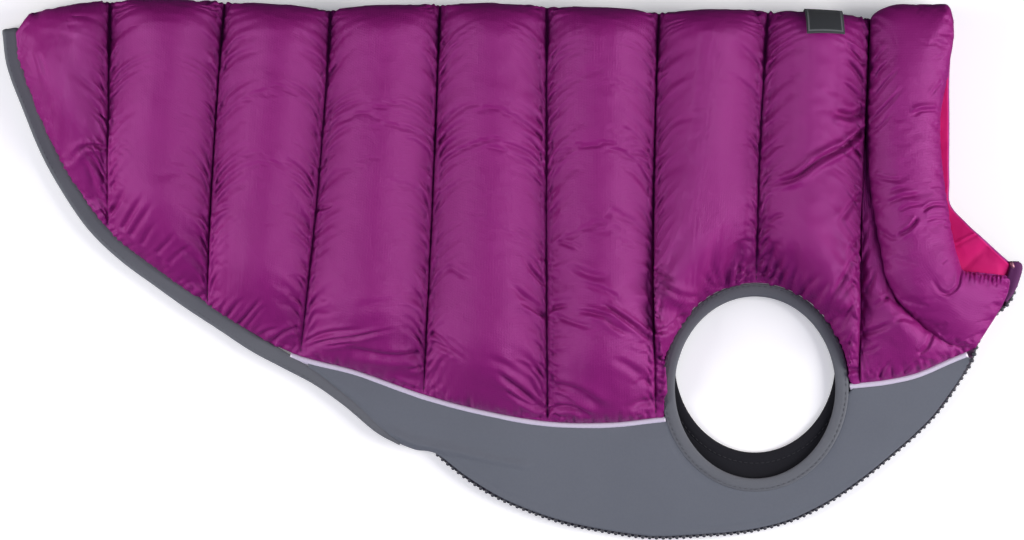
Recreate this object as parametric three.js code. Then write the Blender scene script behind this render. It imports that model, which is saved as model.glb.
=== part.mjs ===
import * as THREE from "three";

// Dog winter coat, laid on its side: +X to the neck, +Y to the spine, +Z up off the surface.
// The near half lies on the far half, and both meet at the spine fold and at the zip.

// Driving dimensions, in millimetres.
const GAP = 0.3; // between pieces at a seam
const EDGE = 2.6; // padded shell where it is sewn flat
const REST_MID = 2.9; // height between the two halves at their sewn edges
const MID = 14.6; // height between the two halves under the channels
const SLIT = 0.3; // half the space between the halves
const NEAR_LOFT = 17; // near half at the crest of a channel
const QUILT_PINCH = 3.2; // near half on a quilting line
const LINE_SAG = 1.8; // how far the middle drops under a quilting line
const LINE_LIFT = 2.4; // how far a quilting line stands off the surface
const LINE_FLAT = 0.3; // share of a channel's half width that lifts off the surface
const RAMP = 30; // from the sewn edge to the full loft
const FOLD_R = 15; // rounding of the spine fold
const FOLD_WALL = 12; // padded wall outside the slit at the spine fold
const CROWN = 1.4; // rise of the spine between two quilting lines
const CLOTH = 2.2; // stretch cloth of the belly
const LINING = 0.9; // collar lining
const HEM_WIDTH = 5.4; // bound rear edge
const HEM_THICK = 2.6;
const PIPING_WIDTH = 3.1;
const PIPING_THICK = 2.2;
const ZIP_WIDTH = 2.2;
const ZIP_THICK = 3.2;
const HOLE_X = 114.4; // leg hole: centre and half sizes of the bound edge
const HOLE_Y = -55.3;
const HOLE_RX = 37.6; // opening
const HOLE_RY = 43;
const RING_RX = 44.2; // outside of the binding
const RING_RY = 48.9;
const RING_THICK = 3.2;
const CHORD = 0.45; // room for the straight facets round the leg hole
const FAR_SHIFT = 12.2; // the far leg hole lies this much nearer to the spine
const SHIFT_FROM = -100; // the far half's lower seam runs off the near one from here,
const SHIFT_FULL = 62; //   is fully off it between these two,
const SHIFT_HOLD = 164;
const SHIFT_END = 213; //   and meets it again here
const LABEL_X = 146; // label: middle, width, and reach down each side of the spine
const LABEL_WIDTH = 18;
const LABEL_NEAR = 13;
const LABEL_FAR = 6;
const LABEL_THICK = 0.8;

// Quilting lines, tail to neck: end at the spine, sideways bow half way down, end at the lower edge.
const SEAMS = [
  { topX: -227.5, topY: 120.1, bow: -0.2, lowX: -233.6, lowY: 111.4 },
  { topX: -188.9, topY: 125.5, bow: 0, lowX: -190.3, lowY: 19.7 },
  { topX: -134.9, topY: 125, bow: -0.9, lowX: -142.9, lowY: -15.5 },
  { topX: -85.1, topY: 121.7, bow: 1.6, lowX: -99.6, lowY: -39.7 },
  { topX: -33.8, topY: 124.1, bow: 0.5, lowX: -41.4, lowY: -58.5 },
  { topX: 16.4, topY: 123.1, bow: -0.5, lowX: 16.4, lowY: -71.2 },
  { topX: 69.1, topY: 120.3, bow: -1.9, lowX: 67.2, lowY: -69.6 },
  { topX: 120.3, topY: 120.8, bow: -1.2, lowX: 115.1, lowY: -6.1 },
  { topX: 168.3, topY: 118, bow: -1.4, lowX: 164.5, lowY: -53.1 },
];

// Lower edge of the padded shell, from the tail to the leg hole.
const REAR_EDGE = [
  { x: -233.6, y: 111.4 },
  { x: -231.2, y: 97.3 },
  { x: -216.2, y: 59.7 },
  { x: -190.3, y: 19.7 },
  { x: -163.6, y: -1.9 },
  { x: -133.5, y: -22.6 },
  { x: -103.4, y: -39 },
  { x: -73.3, y: -47.2 },
  { x: -41.4, y: -58.5 },
  { x: -13.2, y: -66 },
  { x: 16.4, y: -71.2 },
  { x: 47, y: -71.7 },
  { x: 69.6, y: -69.3 },
];

// Lower edge of the padded shell in front of the leg hole.
const FRONT_EDGE = [
  { x: 159.8, y: -53.8 },
  { x: 174.8, y: -52.2 },
  { x: 189.9, y: -48.9 },
  { x: 204.9, y: -42.5 },
  { x: 213.4, y: -39 },
];

// Middle of the hem binding, from the spine round the rear of the belly.
const HEM_LINE = [
  { x: -236.9, y: 110.9 },
  { x: -235, y: 96.8 },
  { x: -227, y: 75.2 },
  { x: -219.5, y: 56.9 },
  { x: -212, y: 42.8 },
  { x: -197.4, y: 21.1 },
  { x: -182.4, y: 6.6 },
  { x: -166.4, y: -5.2 },
  { x: -151.3, y: -16 },
  { x: -136.3, y: -25.8 },
  { x: -121.3, y: -35.7 },
  { x: -106.2, y: -43.7 },
  { x: -91.2, y: -51.7 },
  { x: -76.1, y: -62.5 },
  { x: -62, y: -74.3 },
  { x: -51.7, y: -79.9 },
];

// Middle of the zip, from the rear of the belly to the top of the collar.
const ZIP_LINE = [
  { x: -35.2, y: -86 },
  { x: -28.2, y: -92.1 },
  { x: -13.2, y: -102.9 },
  { x: 0.9, y: -110 },
  { x: 23.5, y: -118.2 },
  { x: 38.5, y: -121.5 },
  { x: 64.9, y: -125.3 },
  { x: 91.2, y: -124.3 },
  { x: 113.7, y: -122 },
  { x: 136.3, y: -115.4 },
  { x: 158.9, y: -102.2 },
  { x: 180.9, y: -84.8 },
  { x: 195.5, y: -71.4 },
  { x: 203, y: -62.5 },
  { x: 210.6, y: -51.2 },
  { x: 217.6, y: -38.1 },
  { x: 222.8, y: -26.3 },
  { x: 229.8, y: -18.8 },
  { x: 235.9, y: -8.9 },
  { x: 237.8, y: -1.4 },
];

// Chest point: a row for each section, from the last quilting line to the zip.
const CHEST = [
  { lowX: 165.9, topX: 166.1, topY: 31, loft: 3 },
  { lowX: 168.7, topX: 167.3, topY: 29.1, loft: 7 },
  { lowX: 174.4, topX: 169.7, topY: 17.9, loft: 10.5 },
  { lowX: 180.9, topX: 172.3, topY: 3.8, loft: 12 },
  { lowX: 188, topX: 174.8, topY: -9.9, loft: 12 },
  { lowX: 195, topX: 180, topY: -18.3, loft: 10.5 },
  { lowX: 201.6, topX: 188.5, topY: -25.4, loft: 8 },
  { lowX: 207.7, topX: 198.3, topY: -32.4, loft: 5.5 },
  { lowX: 212.4, topX: 206.8, topY: -37.4, loft: 3 },
];

// Collar: a row for each section, from the spine fold to the zip. The near rim and the far rim differ.
const COLLAR = [
  { seamX: 170.1, seamY: 112.3, rimX: 206.8, rimY: 112.3, farX: 206.8, farY: 112.3, edge: 5.5, loft: 12.6, mid: 14.6 },
  { seamX: 169.2, seamY: 91.6, rimX: 204.4, rimY: 92.1, farX: 205.6, farY: 91.2, edge: 5, loft: 16.5, mid: 14.6 },
  { seamX: 168.7, seamY: 65.8, rimX: 201.2, rimY: 71, farX: 205.6, farY: 68.6, edge: 4.5, loft: 17.5, mid: 14.6 },
  { seamX: 170.1, seamY: 37.6, rimX: 202.8, rimY: 42.3, farX: 205.6, farY: 41.4, edge: 4.5, loft: 18, mid: 14.6 },
  { seamX: 173, seamY: 14.1, rimX: 205.9, rimY: 19.7, farX: 211.5, farY: 24, edge: 4.5, loft: 18, mid: 14.6 },
  { seamX: 176.7, seamY: -7, rimX: 210.1, rimY: 5.6, farX: 222.3, farY: 14.1, edge: 4.5, loft: 17.5, mid: 14.2 },
  { seamX: 183.8, seamY: -18.3, rimX: 213.8, rimY: -0.5, farX: 230.8, farY: 6.6, edge: 4.5, loft: 16.5, mid: 12.5 },
  { seamX: 193.6, seamY: -27, rimX: 221.4, rimY: -2.8, farX: 234.5, farY: 2.3, edge: 4.5, loft: 13.5, mid: 10 },
  { seamX: 204.4, seamY: -34.1, rimX: 228.4, rimY: -5.4, farX: 235.5, farY: -0.9, edge: 4.2, loft: 9.5, mid: 7.2 },
  { seamX: 213.4, seamY: -37.4, rimX: 232.9, rimY: -8.2, farX: 235.5, farY: -3.8, edge: 3, loft: 4.5, mid: 4.8 },
];

// Belly panel: the top of each section lies on the rear edge or the front edge at x, or on the leg hole at an angle in degrees.
const BELLY = [
  { edge: "rear", at: -95.9, lowX: -94.9, lowY: -46.3 },
  { edge: "rear", at: -84.6, lowX: -83.2, lowY: -53.1 },
  { edge: "rear", at: -72.4, lowX: -70.5, lowY: -63 },
  { edge: "rear", at: -58.3, lowX: -57.3, lowY: -71.4 },
  { edge: "rear", at: -43.2, lowX: -44.6, lowY: -80.4 },
  { edge: "rear", at: -28.2, lowX: -33.8, lowY: -84.6 },
  { edge: "rear", at: -13.2, lowX: -20.7, lowY: -95.4 },
  { edge: "rear", at: 3.8, lowX: -2.3, lowY: -105.3 },
  { edge: "rear", at: 22.6, lowX: 19.3, lowY: -113.7 },
  { edge: "rear", at: 47, lowX: 41.4, lowY: -118.9 },
  { edge: "rear", at: 66.7, lowX: 62.5, lowY: -122.2 },
  { edge: "ring", at: 208, lowX: 75.7, lowY: -122.7 },
  { edge: "ring", at: 225, lowX: 88.4, lowY: -121.3 },
  { edge: "ring", at: 247, lowX: 101.5, lowY: -120.3 },
  { edge: "ring", at: 270, lowX: 115.1, lowY: -118.7 },
  { edge: "ring", at: 293, lowX: 130.7, lowY: -114.2 },
  { edge: "ring", at: 315, lowX: 147.1, lowY: -106.7 },
  { edge: "ring", at: 337, lowX: 162.6, lowY: -96.8 },
  { edge: "ring", at: 356, lowX: 173.9, lowY: -87.9 },
  { edge: "front", at: 166.4, lowX: 180.5, lowY: -82.7 },
  { edge: "front", at: 176.7, lowX: 188, lowY: -75.7 },
  { edge: "front", at: 189.9, lowX: 196.5, lowY: -66.3 },
  { edge: "front", at: 203, lowX: 204.9, lowY: -54.5 },
  { edge: "front", at: 209.6, lowX: 210.6, lowY: -45.1 },
];

// Largest creases of the near half: a trough along a line, with its height and half width.
const CREASES = [
  { x1: 126.9, y1: 41.4, x2: 158.9, y2: 62, height: -2.6, width: 3.2 },
  { x1: -210.6, y1: 56.4, x2: -191.8, y2: 51.2, height: -1.6, width: 3 },
  { x1: -91.2, y1: -30.1, x2: -47, y2: -34.3, height: -1.8, width: 3.2 },
  { x1: -32.9, y1: -28.2, x2: -5.6, y2: -47.9, height: -1.6, width: 3 },
  { x1: 23.5, y1: -38.5, x2: 54.5, y2: -60.2, height: -1.6, width: 3 },
  { x1: 25.4, y1: -28.2, x2: 41.4, y2: -33.8, height: -1.2, width: 2.5 },
  { x1: 184.7, y1: 74.3, x2: 202.1, y2: 76.1, height: -1.5, width: 2.5 },
  { x1: 186.1, y1: 16, x2: 203, y2: 28.2, height: -2, width: 3 },
  { x1: 195.5, y1: -10.3, x2: 209.6, y2: -8, height: -2, width: 3 },
];

const COLORS = {
  shell: 0x86296f,
  lining: 0xca2771,
  cloth: 0x6a6f79,
  binding: 0x5f5e66,
  piping: 0xd2c8dc,
  zip: 0x3d3a44,
  label: 0x3f4246,
};

const v2 = (x, y) => new THREE.Vector2(x, y);
const v3 = (x, y, z) => new THREE.Vector3(x, y, z);
const lerp = THREE.MathUtils.lerp;
const smooth = THREE.MathUtils.smoothstep;

// ---- lines -------------------------------------------------------------

function spline(rows, count) {
  const curve = new THREE.CatmullRomCurve3(
    rows.map((r) => v3(r.x, r.y, 0)),
    false,
    "centripetal",
  );
  return curve.getSpacedPoints(count).map((p) => v2(p.x, p.y));
}

function lengths(line) {
  const out = [0];
  for (let i = 1; i < line.length; i++)
    out.push(out[i - 1] + line[i].distanceTo(line[i - 1]));
  return out;
}

function along(line, sums, s) {
  let i = 1;
  while (i < line.length - 1 && sums[i] < s) i++;
  const k = THREE.MathUtils.clamp((s - sums[i - 1]) / (sums[i] - sums[i - 1]), 0, 1);
  return line[i - 1].clone().lerp(line[i], k);
}

function nearestLength(line, sums, p) {
  let best = 0;
  line.forEach((q, i) => {
    if (q.distanceTo(p) < line[best].distanceTo(p)) best = i;
  });
  return sums[best];
}

function atX(line, x) {
  let i = 1;
  while (i < line.length - 1 && line[i].x < x) i++;
  const k = (x - line[i - 1].x) / (line[i].x - line[i - 1].x);
  return v2(x, lerp(line[i - 1].y, line[i].y, k));
}

// The line moved sideways: positive is to the left of its direction.
function beside(line, d) {
  return line.map((p, i) => {
    const a = line[Math.max(0, i - 1)],
      b = line[Math.min(line.length - 1, i + 1)];
    const t = b.clone().sub(a).normalize();
    return v2(p.x - t.y * d, p.y + t.x * d);
  });
}

const onEllipse = (rx, ry, degrees) => {
  const a = THREE.MathUtils.degToRad(degrees);
  return v2(HOLE_X + rx * Math.cos(a), HOLE_Y + ry * Math.sin(a));
};

const farShift = (x) =>
  FAR_SHIFT * smooth(x, SHIFT_FROM, SHIFT_FULL) * (1 - smooth(x, SHIFT_HOLD, SHIFT_END));
const shifted = (p, side) => (side > 0 ? p.clone() : v2(p.x, p.y + farShift(p.x)));

const rearEdge = spline(REAR_EDGE, 160);
const frontEdge = spline(FRONT_EDGE, 40);

// Whole lower edge of the back shell: rear edge, over the leg hole, then to the last quilting line.
const lowerEdge = [
  ...rearEdge,
  ...Array.from({ length: 61 }, (_, i) =>
    onEllipse(RING_RX + GAP + CHORD, RING_RY + GAP + CHORD, lerp(188, 2.5, i / 60)),
  ),
  ...frontEdge.filter((p) => p.x <= SEAMS[SEAMS.length - 1].lowX),
];
const lowerSums = lengths(lowerEdge);

// ---- solids ------------------------------------------------------------

// Closed body through rings of equal count. Each end is filled from its own flat outline.
function loft(rings, endOutlines, closed = false) {
  const n = rings[0].length,
    m = rings.length;
  const position = [],
    index = [];
  for (const ring of rings) for (const p of ring) position.push(p.x, p.y, p.z);
  for (let j = 0; j < (closed ? m : m - 1); j++)
    for (let i = 0; i < n; i++) {
      const a = j * n + i,
        b = j * n + ((i + 1) % n),
        c = ((j + 1) % m) * n + i,
        d = ((j + 1) % m) * n + ((i + 1) % n);
      index.push(a, b, d, a, d, c);
    }
  if (!closed)
    [0, m - 1].forEach((j, end) => {
      for (const f of THREE.ShapeUtils.triangulateShape(endOutlines[end], [])) {
        const t = f.map((k) => j * n + k);
        const turn = THREE.ShapeUtils.isClockWise(endOutlines[end]) ? -1 : 1;
        if ((end === 0 ? -1 : 1) * turn < 0) t.reverse();
        index.push(...t);
      }
    });
  return orient(position, index);
}

function orient(position, index) {
  let volume = 0;
  const p = (i) => v3(position[3 * i], position[3 * i + 1], position[3 * i + 2]);
  for (let i = 0; i < index.length; i += 3)
    volume += p(index[i]).dot(p(index[i + 1]).cross(p(index[i + 2])));
  if (volume < 0) index.reverse();
  return new THREE.BufferGeometry()
    .setAttribute("position", new THREE.Float32BufferAttribute(position, 3))
    .setIndex(index);
}

// Rounded strip section: offsets across the width and through the thickness.
const stripSection = (width, thick) => {
  const c = Math.min(width, thick) * 0.28;
  return [
    [-width / 2, -thick / 2 + c],
    [-width / 2 + c, -thick / 2],
    [width / 2 - c, -thick / 2],
    [width / 2, -thick / 2 + c],
    [width / 2, thick / 2 - c],
    [width / 2 - c, thick / 2],
    [-width / 2 + c, thick / 2],
    [-width / 2, thick / 2 - c],
  ].map(([a, b]) => v2(a, b));
};

// Strip along frames {p, across, up}.
function strip(frames, width, thick, closed = false) {
  const section = stripSection(width, thick);
  const rings = frames.map((f) =>
    section.map((q) =>
      f.p.clone().addScaledVector(f.across, q.x).addScaledVector(f.up, q.y),
    ),
  );
  return loft(rings, [section, section], closed);
}

// Frames of a line at a height, with the width level.
function levelFrames(line, height) {
  return line.map((p, i) => {
    const a = line[Math.max(0, i - 1)],
      b = line[Math.min(line.length - 1, i + 1)];
    const t = b.clone().sub(a).normalize();
    return { p: v3(p.x, p.y, height(p, i / (line.length - 1))), across: v3(-t.y, t.x, 0), up: v3(0, 0, 1) };
  });
}

function resample(line, step) {
  const sums = lengths(line),
    total = sums[sums.length - 1],
    count = Math.max(2, Math.round(total / step));
  return Array.from({ length: count + 1 }, (_, i) => along(line, sums, (total * i) / count));
}

function crease(x, y) {
  let z = 0;
  for (const c of CREASES) {
    const d = v2(c.x2 - c.x1, c.y2 - c.y1),
      q = v2(x - c.x1, y - c.y1);
    const k = THREE.MathUtils.clamp(q.dot(d) / d.lengthSq(), 0, 1);
    const off = q.sub(d.multiplyScalar(k)).length() / c.width;
    z += c.height * Math.exp(-off * off) * Math.sin(Math.PI * THREE.MathUtils.clamp(k, 0.15, 0.85));
  }
  return z;
}

// ---- back shell ---------------------------------------------------------

// Column of the shell at channel i and share u across it: ends, bow and fullness.
function column(i, u) {
  const a = SEAMS[i],
    b = SEAMS[Math.min(i + 1, SEAMS.length - 1)];
  const sa = nearestLength(lowerEdge, lowerSums, v2(a.lowX, a.lowY)),
    sb = nearestLength(lowerEdge, lowerSums, v2(b.lowX, b.lowY));
  const puff = Math.pow(Math.max(0, Math.sin(Math.PI * u)), 0.6);
  return {
    low: along(lowerEdge, lowerSums, lerp(sa, sb, u)),
    top: v2(lerp(a.topX, b.topX, u), lerp(a.topY, b.topY, u) + CROWN * puff),
    bow: lerp(a.bow, b.bow, u),
    puff,
    lift: Math.max(0, 1 - Math.min(u, 1 - u) / LINE_FLAT),
  };
}

// Point of a column: v from the lower edge (0) to the spine (1); level is "out" or "in".
function shellPoint(c, side, v, level) {
  const low = shifted(c.low, side);
  const size = low.distanceTo(c.top);
  const ramp = Math.min(RAMP, 0.45 * size),
    fold = Math.min(FOLD_R, 0.5 * size);
  const s = v * size;
  const full = Math.pow(Math.sin((Math.PI / 2) * Math.min(1, s / ramp)), 0.75);
  const k = Math.max(0, (s - (size - fold)) / fold);
  const round = Math.sqrt(Math.max(0, 1 - k * k));
  const mid =
    lerp(REST_MID, MID * Math.min(1, size / 60 + 0.25), smooth(s, 0, ramp * 1.35)) -
    LINE_SAG * (1 - c.puff) * smooth(s, 0, ramp);
  const x = lerp(low.x, c.top.x, v) + 4 * c.bow * v * (1 - v),
    y = lerp(low.y, c.top.y, v);
  if (level === "in") return v3(x, y, mid + side * SLIT);
  if (side > 0) {
    const loft =
      lerp(EDGE, QUILT_PINCH, full) +
      (NEAR_LOFT - QUILT_PINCH) * c.puff * full * Math.min(1, size / 70);
    return v3(x, y, mid + SLIT + round * (loft - SLIT) + crease(x, y) * full * round * c.puff);
  }
  const under = LINE_LIFT * c.lift * full;
  return v3(x, y, mid - round * (mid - under));
}

const RAMP_SHARES = [0, 0.1, 0.28, 0.55, 1];
const FOLD_SHARES = [0, 0.35, 0.62, 0.83, 0.95];

function shellSection(c) {
  const stops = (side) => {
    const size = shifted(c.low, side).distanceTo(c.top);
    const ramp = Math.min(RAMP, 0.45 * size) / size,
      fold = Math.min(FOLD_R, 0.5 * size) / size;
    return [
      ...RAMP_SHARES.map((r) => r * ramp),
      lerp(ramp, 1 - fold, 0.5),
      ...FOLD_SHARES.map((f) => 1 - fold + f * fold),
    ];
  };
  const size = c.low.distanceTo(c.top);
  const wall = Math.min(FOLD_WALL, 0.42 * size) / size;
  const inside = [0, 0.25, 0.55, 1].map((k) => k * (1 - wall));
  const ring = [],
    outline = [];
  const add = (side, v, level) => {
    const p = shellPoint(c, side, v, level);
    ring.push(p);
    outline.push(v2(v * 1000, p.z));
  };
  for (const v of stops(1)) add(1, v, "out");
  add(1, 1, "out");
  for (const v of stops(-1).reverse()) add(-1, v, "out");
  for (const v of inside) add(-1, v, "in");
  for (const v of [...inside].reverse()) add(1, v, "in");
  return { ring, outline };
}

const CHANNEL_SHARES = [0, 0.13, 0.36, 0.64, 0.87];
const ROUND_SHARES = [0, 0.08, 0.18, 0.3, 0.43, 0.57, 0.7, 0.82, 0.92]; // channels that end on the leg hole
const sections = [];
for (let i = 0; i < SEAMS.length - 1; i++)
  for (const u of i > SEAMS.length - 4 ? ROUND_SHARES : CHANNEL_SHARES)
    sections.push(shellSection(column(i, u)));
sections.push(shellSection(column(SEAMS.length - 2, 1)));
const backShell = loft(
  sections.map((s) => s.ring),
  [sections[0].outline, sections[sections.length - 1].outline],
);

// ---- chest points -------------------------------------------------------

function chestPoint(side) {
  const shares = [0, 0.12, 0.35, 0.65, 0.88, 1];
  const made = CHEST.map((r) => {
    const low = shifted(atX(frontEdge, r.lowX), side).add(v2(0, GAP)),
      top = v2(r.topX, r.topY);
    const midTop = collarMidAt(top);
    const ring = [],
      outline = [];
    const add = (v, out) => {
      const x = lerp(low.x, top.x, v),
        y = lerp(low.y, top.y, v),
        mid = lerp(REST_MID, midTop, smooth(v, 0, 0.9)),
        body = lerp(EDGE, Math.max(EDGE, r.loft), Math.pow(Math.sin(Math.PI * v), 0.6));
      let z = mid + side * SLIT;
      if (out) z = side > 0 ? mid + body : Math.max(0, mid - Math.max(body, r.loft > 4 ? mid : body));
      ring.push(v3(x, y, z));
      outline.push(v2(v * 1000, z));
    };
    shares.forEach((v) => add(v, true));
    [...shares].reverse().forEach((v) => add(v, false));
    return { ring, outline };
  });
  return loft(
    made.map((m) => m.ring),
    [made[0].outline, made[made.length - 1].outline],
  );
}

// Height between the halves where the shell meets the collar.
function collarMidAt(p) {
  let best = COLLAR[0];
  for (const r of COLLAR)
    if (v2(r.seamX, r.seamY).distanceTo(p) < v2(best.seamX, best.seamY).distanceTo(p)) best = r;
  return best.mid - 1;
}

// ---- collar -------------------------------------------------------------

const COLLAR_STOPS = [0, 0.06, 0.18, 0.36, 0.56, 0.76, 0.9, 0.97, 1];
const FOLD_TURNS = [30, 60, 90, 120, 150];
const LINING_STOPS = [0.06, 0.4, 0.7, 0.95];
const FAR_MID = 0.82; // the far half of the collar lies this much lower towards the zip

function refine(rows, parts) {
  const out = [];
  rows.forEach((r, i) => {
    if (i === rows.length - 1) return out.push(r);
    for (let k = 0; k < parts; k++) {
      const m = {};
      for (const key of Object.keys(r)) m[key] = lerp(r[key], rows[i + 1][key], k / parts);
      out.push(m);
    }
  });
  return out;
}

// Frames of the collar from the near zip end, over the spine fold, to the far zip end.
function collarFrames() {
  const rows = refine(COLLAR, 2);
  const near = [...rows].reverse().map((r) => ({ r, turn: 0, rim: v2(r.rimX, r.rimY), side: 1 }));
  const fold = FOLD_TURNS.map((turn) => ({ r: rows[0], turn, rim: v2(rows[0].rimX, rows[0].rimY), side: 1 }));
  const far = rows.map((r) => ({
    r: { ...r, mid: r.mid * (r.mid < MID ? FAR_MID : 1) },
    turn: 180,
    rim: v2(r.farX, r.farY),
    side: -1,
  }));
  return [...near, ...fold, ...far];
}

function collarPoint(f, a, h) {
  const seam = v2(f.r.seamX, f.r.seamY).lerp(f.rim, a);
  const t = THREE.MathUtils.degToRad(f.turn);
  return v3(seam.x, seam.y + Math.sin(t) * h, f.r.mid + Math.cos(t) * h);
}

// Thickness over the inner face, from the seam (a = 0) to the rolled rim (a = 1).
function collarHeight(f, a) {
  const limit = f.turn === 180 ? Math.min(f.r.loft, f.r.mid) : f.r.loft;
  const edge = Math.min(f.r.edge, limit);
  const rise = Math.pow(Math.sin((Math.PI / 2) * Math.min(1, a / 0.42)), 0.62);
  const roll = Math.sqrt(Math.max(0, 1 - Math.pow(Math.max(0, (a - 0.66) / 0.34), 2.4)));
  const flat = f.turn === 180 ? Math.min(1, rise * 1.25) : rise;
  return Math.max(LINING + 2 * GAP + 0.8, (edge + (limit - edge) * flat) * Math.max(roll, 0.3));
}

function collarShell() {
  const made = collarFrames().map((f) => {
    const ring = [],
      outline = [];
    const add = (a, h) => {
      ring.push(collarPoint(f, a, h));
      outline.push(v2(a * 100, h));
    };
    COLLAR_STOPS.forEach((a) => {
      let h = collarHeight(f, a);
      if (f.turn === 0) {
        const p = collarPoint(f, a, h);
        h = Math.max(h * 0.6, h + crease(p.x, p.y) * Math.sin(Math.PI * a));
      }
      add(a, h);
    });
    [1, ...[...LINING_STOPS].reverse(), 0].forEach((a) => add(a, LINING + 2.4 * GAP));
    return { ring, outline };
  });
  return loft(
    made.map((m) => m.ring),
    [made[0].outline, made[made.length - 1].outline],
  );
}

function collarLining() {
  const made = collarFrames().map((f) => {
    const ring = [],
      outline = [];
    const add = (a, h) => {
      ring.push(collarPoint(f, a, h));
      outline.push(v2(a * 100, h));
    };
    LINING_STOPS.forEach((a) => add(a, GAP + LINING));
    [...LINING_STOPS].reverse().forEach((a) => add(a, GAP));
    return { ring, outline };
  });
  return loft(
    made.map((m) => m.ring),
    [made[0].outline, made[made.length - 1].outline],
  );
}

// ---- belly --------------------------------------------------------------

const PIPE_ROOM = PIPING_WIDTH + 2 * GAP;
const rearUnder = beside(rearEdge, -PIPE_ROOM);
const frontUnder = beside(frontEdge, -PIPE_ROOM - GAP);

function bellyTop(r) {
  if (r.edge === "ring") return onEllipse(RING_RX + GAP + CHORD, RING_RY + GAP + CHORD, r.at);
  return atX(r.edge === "rear" ? rearUnder : frontUnder, r.at);
}

function bellyPanel(side) {
  const base = side > 0 ? REST_MID + SLIT - 0.2 : 0;
  const shares = [0, 0.35, 0.7, 1];
  const rows = BELLY.flatMap((r, i) =>
    r.edge === "ring" && BELLY[i + 1].edge === "ring"
      ? [r, { edge: "ring", at: (r.at + BELLY[i + 1].at) / 2, lowX: (r.lowX + BELLY[i + 1].lowX) / 2, lowY: (r.lowY + BELLY[i + 1].lowY) / 2 }]
      : [r],
  );
  const made = rows.map((r) => {
    const top = shifted(bellyTop(r), side),
      low = v2(r.lowX, r.lowY);
    const ring = [],
      outline = [];
    const add = (v, z) => {
      ring.push(v3(lerp(top.x, low.x, v), lerp(top.y, low.y, v), z));
      outline.push(v2(v * 1000, z));
    };
    shares.forEach((v) => add(v, base + CLOTH));
    [...shares].reverse().forEach((v) => add(v, base));
    return { ring, outline };
  });
  return loft(
    made.map((m) => m.ring),
    [made[0].outline, made[made.length - 1].outline],
  );
}

// ---- trims --------------------------------------------------------------

function legBinding(side) {
  const count = 40;
  const z = side > 0 ? REST_MID + SLIT + RING_THICK / 2 : (REST_MID - SLIT) / 2;
  const thick = side > 0 ? RING_THICK : REST_MID - SLIT;
  const frames = Array.from({ length: count }, (_, i) => {
    const d = (360 * i) / count;
    const a = onEllipse(HOLE_RX, HOLE_RY, d),
      b = onEllipse(RING_RX, RING_RY, d);
    const p = a.clone().add(b).multiplyScalar(0.5);
    const across = b.clone().sub(a).normalize();
    return {
      p: v3(p.x, p.y + (side > 0 ? 0 : FAR_SHIFT), z),
      across: v3(across.x, across.y, 0),
      up: v3(0, 0, 1),
    };
  });
  return strip(frames, (RING_RX - HOLE_RX + RING_RY - HOLE_RY) / 2 - 0.1, thick, true);
}

function hemBinding() {
  const line = resample(spline(HEM_LINE, 120), 12);
  const nearZ = REST_MID + SLIT + HEM_THICK / 2,
    farZ = HEM_THICK / 2,
    middle = (nearZ + farZ) / 2,
    r = (nearZ - farZ) / 2;
  const near = levelFrames([...line].reverse(), () => nearZ);
  const last = near[near.length - 1];
  const t = line[0].clone().sub(line[1]).normalize();
  const fold = [30, 60, 90, 120, 150].map((d) => {
    const a = THREE.MathUtils.degToRad(d);
    const out = v3(t.x, t.y, 0).multiplyScalar(Math.sin(a)).add(v3(0, 0, Math.cos(a)));
    return {
      p: v3(line[0].x, line[0].y, middle).addScaledVector(out, r),
      across: last.across.clone(),
      up: out,
    };
  });
  const far = levelFrames(line, () => farZ).map((f) => ({
    p: f.p,
    across: f.across.clone().negate(),
    up: v3(0, 0, -1),
  }));
  return strip([...near, ...fold, ...far], HEM_WIDTH, HEM_THICK);
}

function piping(edge, side, from, to) {
  const line = beside(
    edge.map((p) => shifted(p, side)),
    -(PIPING_WIDTH / 2 + GAP),
  ).filter((p) => p.x > from && p.x < to);
  const z = side > 0 ? REST_MID + SLIT + 0.2 + PIPING_THICK / 2 : GAP + 1;
  const thick = side > 0 ? PIPING_THICK : 2;
  return strip(levelFrames(resample(line, 14), () => z), PIPING_WIDTH, thick);
}

const zipLine = resample(spline(ZIP_LINE, 200), 11);
const zipHeight = (p, k) => lerp(2.7, 5.2, smooth(k, 0.72, 0.95));

// ---- label --------------------------------------------------------------

// Patch made from the shell's own outer points over the spine, moved out.
function label() {
  const channel = SEAMS.length - 2;
  const a = SEAMS[channel].topX,
    b = SEAMS[channel + 1].topX;
  const stops = [];
  const c0 = column(channel, (LABEL_X - a) / (b - a));
  const size = c0.low.distanceTo(c0.top);
  for (const d of [1, 0.6, 0.3, 0.12, 0.03]) stops.push([1, 1 - (d * LABEL_NEAR) / size]);
  stops.push([1, 1]);
  for (const d of [0.08, 0.35, 1]) stops.push([-1, 1 - (d * LABEL_FAR) / size]);
  const rings = [-0.5, -0.17, 0.17, 0.5].map((w) => {
    const c = column(channel, (LABEL_X + w * LABEL_WIDTH - a) / (b - a));
    const base = stops.map(([side, v]) => shellPoint(c, side, v, "out"));
    const normal = base.map((p, i) => {
      const t = base[Math.min(i + 1, base.length - 1)].clone().sub(base[Math.max(i - 1, 0)]);
      return v3(0, -t.z, t.y).normalize().negate();
    });
    const far = base.map((p, i) => p.clone().addScaledVector(normal[i], -(3.5 * GAP + LABEL_THICK)));
    const close = base.map((p, i) => p.clone().addScaledVector(normal[i], -3.5 * GAP));
    return [...far, ...close.reverse()];
  });
  const outline = (ring) => ring.map((p) => v2(p.y, p.z));
  return loft(rings, [outline(rings[0]), outline(rings[rings.length - 1])]);
}

// ---- assembly -----------------------------------------------------------

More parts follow.
